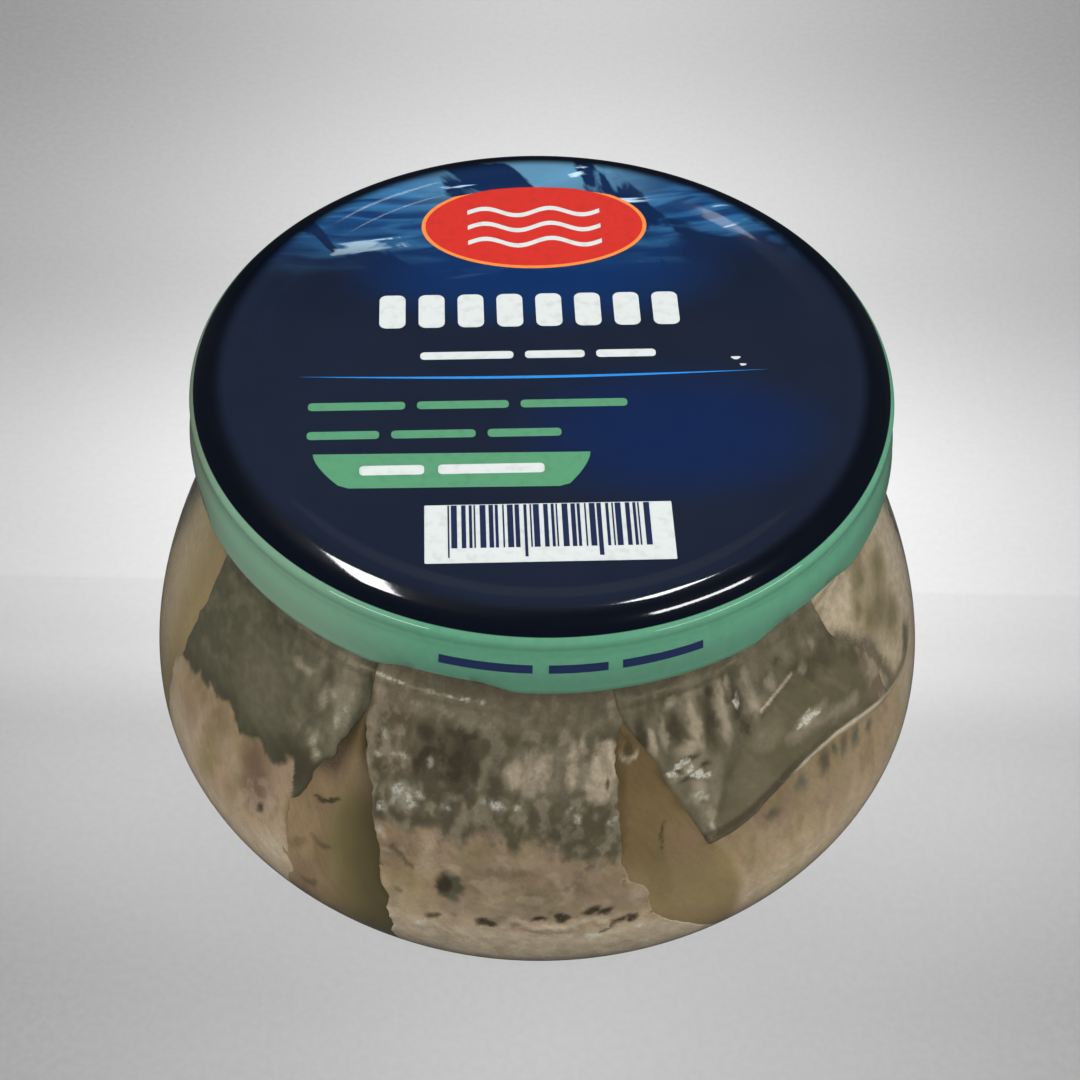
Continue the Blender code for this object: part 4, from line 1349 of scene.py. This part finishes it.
def middle_piece(patch):
    """The big front piece: mottled skin above, pinkish flesh below, a row of dark dots."""
    edge = keyed(patch.azimuth, ((-26, 33.8), (-20, 33.6), (-15, 34.2), (-10, 34.2), (-5, 35.2),
                                 (0, 34.2), (5, 33.0), (10, 32.2), (13, 31.2)))
    skin = smoothstep(patch.height - edge + 4.4 * (patch.cloud(2.2, 2.4, 9) - 0.5), -2.4, 2.4)
    flesh = 1 - skin
    thread = ((-3.8, 22.2), (-2.4, 23.6), (-0.6, 22.9), (0.8, 22.2), (2.6, 22.5), (4.4, 21.9), (6.6, 22.8),
              (8.6, 23.4), (10.2, 22.6))
    middle_skin(patch, skin)
    middle_glints(patch)
    middle_flesh(patch, flesh)
    middle_marks(patch, thread)
    tuck = smoothstep(np.abs(patch.azimuth + 7.4), 19.6, 21.4) * patch.above(44, 46)
    return (0.25 * flesh - 0.25 * patch.stroke(thread, 1.2, 0.9) + 0.3 * patch.mask["dark"] * flesh
            + 0.3 * tuck)


def ribs(patch):
    """Skin with pale upright ridges and dark hollows, mottled towards the right."""
    body = keyed(patch.azimuth, ((24, 31), (27, 33), (28.5, 36), (31, 39), (34, 42), (37, 44.2), (42, 45.4),
                                 (46, 46.2), (50, 45.6), (55, 44.2), (60, 42.4), (67, 40)))
    above = smoothstep(patch.height - body, -0.8, 0.8)
    patch.fill(pale=0.25 * above * patch.cloud(1.8, 3.0, 44))
    ridges = ((18.8, 45.4, 1.6, 3.6), (21.0, 46.4, 1.0, 3.6), (26.4, 46.4, 1.9, 8.4), (24.4, 43.6, 3.4, 1.8),
              (31.7, 46.6, 2.0, 8.4), (37.3, 47.0, 2.2, 6.4), (41.6, 46.6, 2.4, 2.2), (33.6, 49.2, 1.4, 2.4),
              (52.4, 47.4, 2.0, 2.4), (48.8, 45.4, 1.8, 1.6), (22.8, 49.6, 2.4, 1.4))
    patch.spots(1.0, ("dark", 0.4, 39.0, 47.8, 5.6, 3.0, 0.9), ("dark", 0.62, 52.0, 44.8, 9, 3.8, 0.9),
                ("dark", 0.34, 44.0, 47.0, 9, 2.8, 0.9), ("dark", 0.34, 57.0, 45.0, 5, 3.6, 0.9))
    # Painted shade along the top of the left edge, in the seam
    left_edge = patch.near_side(1.4) * patch.left_of(22, 26)
    patch.fill(dark=0.45 * left_edge * patch.above(44, 46))
    wave = np.zeros_like(patch.azimuth)
    for place in ridges:
        wave = np.maximum(wave, patch.blob(*place, 0.6, 4))
    patch.fill(pale=0.62 * wave * (0.65 + 0.35 * patch.cloud(1.2, 3, 8)))
    patch.dots("dark", 0.85, ((23.1, 46.6, 2.6, 3.6), (29.1, 45.6, 2.2, 5.6), (34.6, 46.6, 1.8, 6.4),
                              (30.2, 49.0, 1.8, 1.8), (35.2, 43.8, 1.6, 3.0), (17.0, 46.6, 1.6, 4.0)), 0.7)
    patch.draw("dark", 0.4, ((36.4, 44.2), (33.0, 41.6), (30.4, 38.6), (28.6, 35.0)), 1.4, 0.9)
    mottled = patch.right_of(44, 49) * patch.above(41.4, 44.6)
    patch.fill(pink=0.45 * above * mottled, dark=0.7 * mottled * (0.3 + 0.6 * patch.cloud(2.0, 2.0, 5)))
    patch.fill(dark=0.4 * above * patch.right_of(34, 38) * patch.cloud(2.0, 2.6, 6))
    patch.dots("dark", 0.62, ((44.2, 48.4, 2.2, 0.9), (47.2, 46.4, 3.0, 2.0), (54.6, 44.8, 4.4, 5.0),
                              (56.0, 47.6, 2.6, 3.0)), 0.7)

    # Painted glints with a pale glow round them
    patch.dots("pale", 0.42, ((24.2, 41.0, 4.6, 2.4), (25.4, 38.2, 2.4, 3.4), (26.8, 34.4, 1.2, 4.0),
                              (26.6, 31.8, 1.0, 1.2)), 0.7)
    patch.dots("silver", 1.0, ((21.4, 41.3, 1.3, 0.8), (23.4, 42.1, 2.4, 0.55), (24.6, 41.3, 1.2, 0.5),
                               (25.7, 40.4, 1.8, 0.9), (27.3, 39.9, 1.1, 0.55), (34.3, 46.6, 0.9, 0.9)), 0.3)
    patch.dots("silver", 0.36, ((25.3, 38.0, 1.3, 0.6), (26.2, 37.2, 1.2, 0.6), (26.9, 33.4, 0.6, 1.2),
                                (34.8, 47.4, 0.5, 0.7)), 0.6)
    patch.dots("dark", 0.9, ((22.6, 41.5, 1.3, 0.6), (24.9, 42.5, 2.4, 0.6), (23.6, 40.2, 2.2, 0.9),
                             (27.4, 41.2, 1.6, 0.7), (24.9, 40.4, 0.6, 1.2)), 0.6)
    return 0.1 * above - 0.25 * wave, 1 - above


def fold_piece(patch):
    """A folded piece: ribbed at the top left, smooth with painted sheen and glints, over a lower rim with a
    painted highlight.
    """
    relief, smooth = ribs(patch)
    patch.fill(skin=0.92)
    patch.clear("skin", 0.12 * smooth)
    patch.fill(olive=0.75 * smooth * patch.above(32, 36))
    rim = patch.height - keyed(patch.azimuth, LOWER_EDGE)
    left = patch.left_of(40, 46)
    # Painted shadow in a band above the lower rim, and a painted highlight with glints along the rim, dark
    # along its left part
    shadow = smoothstep(rim, 0.35, 0.7) * (1 - smoothstep(rim, 0.9 + 0.5 * left, 2.2))
    patch.fill(dark=(0.42 + 0.3 * left) * shadow)
    pale = patch.right_of(39, 44) * (1 - 0.5 * patch.right_of(60, 67))
    patch.fill(pale=pale * (1 - smoothstep(rim, 0.35, 0.7)),
               silver=0.3 * pale * smoothstep(rim, 0.1, 0.2) * (1 - smoothstep(rim, 0.3, 0.5)),
               dark=0.5 * left * (1 - smoothstep(rim, 0.3, 0.7)))
    end = patch.right_of(60.5, 64)
    patch.clear("olive", 0.5 * end)
    patch.clear("skin", 0.4 * end)
    patch.fill(pink=0.6 * end, pale=0.4 * end * patch.flecks(1.3, 2.4, 14, 0.45, 0.7))
    patch.dots("dark", 0.5, ((60.5, 40.8, 2.4, 3.2), (63.0, 38.6, 1.6, 3.6), (58.4, 42.6, 2.4, 1.6)), 0.8)
    # Faint painted sheen in diagonal streaks on the smooth part
    streak = fractal((patch.arc + 0.7 * patch.height) / 1.1, (patch.height - 0.4 * patch.arc) / 7, 91)
    patch.fill(pale=0.09 * smooth * smoothstep(streak, 0.0, 0.8), dark=0.14 * smooth)
    patch.spots(1.0, ("pale", 0.12, 34.5, 36.0, 6, 5, 0.9), ("dark", 0.24, 29.6, 37.4, 2.6, 6, 0.9),
                ("pale", 0.22, 38.5, 41.0, 5, 3.4, 0.9))
    # A straight pale line along a crack, a painted highlight, with a darker line beside it
    crack_highlight = ((38.5, 44.1), (42.2, 45.0), (46.2, 45.8))
    patch.draw("pale", 0.95, crack_highlight, 0.42, 0.6, steady=True)
    patch.draw("dark", 0.4, ((38.9, 43.5), (42, 44.4), (46, 45.2)), 0.8, 0.8)
    # A painted glint with a faint pale glow round it
    patch.draw("pale", 0.3, ((43, 38.6), (50, 38.0), (58, 35.8)), 1.6, 0.9)
    patch.spots(1.0, ("pale", 0.72, 47.4, 39.3, 5.0, 1.5, 0.8))
    patch.dots("silver", 0.95, ((45.0, 39.1, 1.0, 0.5), (46.4, 39.4, 1.3, 0.6), (48.0, 39.3, 1.6, 0.5),
                                (49.4, 39.0, 1.0, 0.4), (47.4, 40.2, 0.6, 0.4)), 0.6)
    return relief - 0.15 * (1 - smoothstep(rim, 0.2, 1.2))


def right_piece(patch):
    """Orange-brown behind the middle piece, olive below that, then pinkish flesh to the right."""
    limit = keyed(patch.height, ((14, 30), (22, 31), (28, 29.5), (31, 27.5), (36, 27)))
    gap = 1 - smoothstep(patch.azimuth, limit - 1.2, limit + 1.6)
    flesh = 1 - gap
    # Painted light pales the flesh towards the foot
    patch.fill(pale=flesh * (0.2 * patch.cloud(4, 7) + 0.4 * patch.below(19, 26)),
               warm=flesh * keyed(patch.height, ((20, 0.0), (26, 0.25), (30, 0.3))),
               shade=flesh * keyed(patch.height, ((24, 0.0), (28, 0.16), (32, 0.3)))
               * patch.left_of(56, 68),
               pink=0.4 * flesh * patch.flecks(1.8, 4.4, 33, 0.5, 0.8),
               olive=0.35 * flesh * patch.flecks(2.4, 5.4, 35, 0.5, 0.8))
    patch.dots("skin", 1.0, ((43.5, 32.4, 1.8, 2.6), (48.4, 32.3, 2.0, 3.2), (53.4, 32.2, 1.5, 2.6),
                             (56.4, 31.4, 1.4, 2.4), (51.0, 33.0, 1.0, 1.6), (60.0, 30.6, 1.4, 1.8),
                             (37.4, 30.8, 2.2, 1.4)), 0.8, -8)
    line = keyed(patch.azimuth, LOWER_EDGE)
    patch.fill(shade=0.2 * flesh * (1 - smoothstep(line - patch.height, 0.0, 0.8)),
               olive=0.6 * patch.right_of(64, 78))
    # Towards the far right, less painted shade and more painted light
    patch.clear("shade", 0.6 * patch.right_of(62, 74))
    patch.fill(pale=0.7 * patch.right_of(66, 76))
    patch.dots("pale", 0.8, ((33.0, 18.8, 3.0, 1.6), (37.6, 19.2, 2.6, 1.6), (43.0, 19.8, 2.0, 1.2)), 0.8)

    high = patch.above(27, 33)
    patch.fill(warm=gap * (0.6 + 0.4 * high), olive=gap * (0.6 - 0.45 * high))
    bright = patch.blob(23.4, 32.8, 6.5, 6.0, 0.9)
    patch.clear("olive", 0.9 * bright)
    patch.clear("warm", 0.45 * bright)
    patch.spots(1.0, ("pink", 0.5, 15.6, 36, 3.4, 12, 0.8), ("pink", 0.6, 22.0, 31.5, 6.5, 9.0, 0.9))
    patch.fill(dark=0.22 * patch.above(38, 43))
    patch.draw("shade", 0.4, ((13.3, 47), (13.4, 40), (13.2, 34)), 1.1, 0.9)
    patch.draw("shade", 0.3, ((20, 42), (23, 37)), 1.2, 0.9)
    patch.draw("shade", 0.24, ((17.6, 31), (18.6, 26)), 2.6, 0.9)
    patch.draw("dark", 0.8, ((19.3, 35.5), (18.9, 34.4), (18.7, 32.6)), 0.45, 0.7)
    far = np.hypot((patch.azimuth - 15.0) * DEGREE, patch.height - 45.6)
    lower = patch.below(44.6, 45.8)
    patch.fill(dark=0.75 * (1 - smoothstep(far, 0.5, 1.0)))
    patch.draw("dark", 0.6, ((13.4, 48.6), (14.8, 46.4)), 0.9, 0.7)
    patch.fill(pale=0.9 * lower * (1 - smoothstep(np.abs(far - 1.25), 0.1, 0.35)),
               shade=0.3 * patch.below(15.5, 17.5))
    return 0.2 * flesh


def side_right(patch):
    """Pale olive piece at the far right, with dull green blots."""
    patch.fill(olive=0.85, pale=0.62 + 0.3 * patch.blob(63, 47.4, 9, 6, 0.8))
    # Painted light pales the far side
    patch.fill(pale=0.95 * patch.right_of(72, 82))
    patch.spots(1.0, ("pink", 0.2, 63, 47.6, 6, 4, 0.8))
    patch.draw("pale", 0.8, ((61, 44), (66, 38), (73, 32.5)), 2.6, 0.9)
    blots = ((66.4, 44.0, 3.0, 3.0), (70.0, 46.6, 5.0, 3.6), (72.4, 40.4, 6.6, 5.6), (75.6, 36.8, 5.0, 5.0),
             (78.0, 43.6, 6.0, 4.2), (68.6, 41.0, 3.6, 3.6), (74.0, 49.0, 6.0, 3.0))
    for place in blots:
        blot = patch.blob(*place, 0.95)
        patch.clear("pale", 0.9 * blot)
        patch.fill(skin=0.55 * blot)
    hidden = patch.near_side(4.5)
    patch.fill(pink=0.5 * hidden)
    patch.clear("pale", 0.6 * hidden)
    patch.fill(dark=0.35 * hidden * patch.flecks(1.8, 2.2, 5, 0.4, 0.7))
    # Painted shade in a band beside the end of the folded piece
    beside = ((58.6, 44.6), (61.5, 42.0), (64.6, 40.0), (66.6, 37.0), (67.6, 34.0), (68.6, 32.0))
    patch.draw("dark", 0.75, beside, 2.4, 0.9)
    # Along the lower rim a painted highlight, with a painted shadow above it
    rim = patch.height - keyed(patch.azimuth, LOWER_EDGE)
    patch.fill(pale=0.8 * (1 - smoothstep(rim, 0.2, 0.6)) * patch.left_of(70, 76),
               shade=0.75 * smoothstep(rim, 0.3, 0.7) * (1 - smoothstep(rim, 0.9, 2.4))
               * patch.left_of(80, 84))
    patch.spots(1.0, ("shade", 0.85, 78, 30.6, 5.0, 3.0, 0.6, 30), ("pink", 0.35, 66, 35, 3.0, 5, 0.8))
    return 0.0


def edge_share(first, last, lift=0.0):
    """The lower edge between two azimuths as (share of width, height) keys."""
    return [((a - first) / (last - first), keyed(a, LOWER_EDGE) + lift)
            for a in np.linspace(first, last, 24)]


def plain_piece(kind):
    """The look of a piece that the front doesn't show."""

    def paint(patch):
        top = 33 + 4 * (kind % 3) + 3 * (patch.cloud(6, 6, 2) - 0.5)
        skin = smoothstep(patch.height - top + 2.0 * (patch.cloud(2, 2, 9) - 0.5), -0.6, 0.6)
        skin = skin if kind % 2 == 0 else skin * 0.45
        patch.fill(skin=skin, pale=0.5 * skin * patch.flecks(2.2, 4.5, 21, 0.58, 0.85),
                   dark=0.45 * skin * patch.flecks(3.0, 5.0, 24, 0.58, 0.85))
        # Painted glints on the skin
        sparkle = patch.flecks(0.7, 0.7, 31, 0.55, 0.85)
        patch.fill(silver=0.6 * skin * sparkle * patch.flecks(5, 3, 33, 0.55, 0.7),
                   pink=0.6 * patch.flecks(5, 7, 14, 0.4, 0.8),
                   olive=0.5 * patch.flecks(6, 10, 17, 0.5, 0.8),
                   dark=0.7 * patch.flecks(1.4, 1.4, 19, 0.86, 0.95),
                   shade=0.45 * smoothstep(-patch.height, -18, -13))
        return 0.25 * (1 - skin)

    return paint


def build_core(wall, flesh):
    """The middle of the heap, darkened with painted shade, seen only between the pieces."""

    def relief(angles, radii, heights):
        wave = fractal(angles * 6.5, heights * 0.22, 5) * 0.7
        return radii - np.abs(wave) * (radii > 20), heights

    side = [wall.points(np.array([90.0]), np.array([h]), np.array([CORE_DEPTH]))[0] / MM
            for h in np.linspace(54, 6, WALL_STEPS)]
    profile = [(0.0, 59.6), (20.0, 59.4), (31.5, 58.6), (33.0, 57.0)]
    profile += [(point[0], point[2]) for point in side] + [(20.0, 8.6), (0.0, 9.4)]
    core = turned("herring_core", profile, CORE_STEPS, flesh, relief)
    count = len(core.data.vertices)
    place = np.empty(count * 3)
    core.data.vertices.foreach_get("co", place)
    for key in MASKS:
        layer = core.data.attributes.new(key, 'FLOAT', 'POINT')
        amount = {"warm": 0.6, "olive": 0.5, "shade": 0.55}.get(key, 0.0)
        layer.data.foreach_set("value", np.full(count, amount, dtype=np.float32))
    layer = core.data.attributes.new("wall", 'FLOAT_VECTOR', 'POINT')
    layer.data.foreach_set("vector", (place / MM).astype(np.float32))
    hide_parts("herring_pieces")
    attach(core, "root")


def seam(index, shift=0.0):
    """The line between two pieces of the back, as (height, azimuth) keys."""
    middle = BACK_START + index * BACK_STEP + shift
    lean = BACK_LEANS[index]
    return ((7, middle - 0.5 * lean), (24, middle + lean), (40, middle - lean), (54, middle))


def front_pieces(wall, flesh):
    """The pieces seen from in front, each with its own outline and look."""
    wall_piece("piece_side_left", wall, flesh, seam(BACK_COUNT, -360.0),
               ((4, -70.6), (24, -71), (30, -70.7), (33, -69), (38, -68.5), (44, -67.6), (54, -68)),
               FLOOR_LINE, TOP_LINE, side_left, 11, depth=0.4)
    wall_piece("piece_left", wall, flesh,
               ((14, -71.5), (22, -71.5), (24, -72), (30, -71.7), (33, -70), (38, -69.5), (44, -68.6),
                (48, -69), (54, -69)),
               ((13, -34.5), (18, -36), (22, -36.7), (25, -37.4), (28, -37.6), (31, -37.9),
                (32.2, -36.6), (33.5, -36), (36, -35.3), (38, -34), (40, -32.5), (43, -31),
                (46, -29.4), (48, -28.6), (54, -28)),
               FLOOR_LINE, TOP_LINE, left_piece, 12)
    wall_piece("piece_left_gap", wall, flesh, ((13, -38.5), (31, -39), (40, -34.5), (50, -31)),
               ((13, -17.5), (28, -20), (37, -22), (50, -25)), ((0, 13), (1, 13)), TOP_LINE,
               left_gap, 13, depth=0.4)
    wall_piece("piece_middle", wall, flesh,
               ((14, -20), (16, -20), (20, -20.5), (24, -21), (26, -22), (28, -22.5), (31, -23),
                (34, -24), (36, -24.5), (39, -25.5), (42, -27), (45, -28.2), (47, -30), (54, -32)),
               ((13, 32), (17, 25), (19, 22), (21.5, 19), (23, 17.5), (25, 17), (27.5, 16.4),
                (28.6, 14), (30, 13.2), (33, 13), (36, 12.8), (44, 13), (47, 13.4), (49, 15), (54, 16)),
               FLOOR_LINE, TOP_LINE, middle_piece, 14, grid=0.25)
    wall_piece("piece_fold", wall, flesh,
               ((30.5, 26.3), (32, 25.4), (34.5, 24), (38, 22), (41, 20.3), (44, 19), (46, 17),
                (48.5, 14.5), (50, 13.6), (54, 12.6)),
               FOLD_END, edge_share(26, 67), TOP_LINE, fold_piece, 16, edge=0.35, grid=0.25, ragged=0.1)
    wall_piece("piece_side_right", wall, flesh,
               [(height, azimuth - 4) for height, azimuth in FOLD_END],
               seam(0), edge_share(62, 96), TOP_LINE, side_right, 18, depth=0.3, ragged=0.1)
    wall_piece("piece_right", wall, flesh, ((7, 27), (13, 22), (20, 16), (28, 11.5), (38, 10.5), (50, 11)),
               seam(0), FLOOR_LINE, [(0, 53), (0.14, 53), (0.2, 36)] + edge_share(11, 96, 2.2)[6:],
               right_piece, 19, depth=0.4)


def hidden_pieces(wall, flesh):
    """Plain pieces round the back, and a row of low ones under them all."""
    for index in range(BACK_COUNT):
        over = BACK_LAP if index % 2 == 0 else 0.0
        wall_piece(f"piece_back_{index}", wall, flesh, seam(index, -over), seam(index + 1, over),
                   FLOOR_LINE, TOP_LINE, plain_piece(index), 30 + index, depth=0.5 - 0.3 * over,
                   grid=0.4, ragged=0.5)
    for index in range(FOOT_COUNT):
        start = index * 360 // FOOT_COUNT - 20
        wall_piece(f"piece_foot_{index}", wall, flesh, ((3, start), (17, start + 2)),
                   ((3, start + 44), (17, start + 46)), ((0, 3.0), (1, 3.2)), ((0, 17), (1, 16)),
                   plain_piece(index + 1), 50 + index, depth=0.9, grid=0.5, thick=4.0)


def build_contents():
    flesh = herring_material()
    wall = Wall()
    build_core(wall, flesh)
    front_pieces(wall, flesh)
    hidden_pieces(wall, flesh)


def make_floor():
    size = 1.6
    corners = [(-size, -size, 0), (size, -size, 0), (size, size, 0), (-size, size, 0)]
    floor = add_mesh("floor", corners, [[0, 1, 2, 3]], floor_material(), smooth=False)
    floor.visible_glossy = False


make_camera()
make_floor()
build_jar()
make_studio(build_lid())
build_contents()
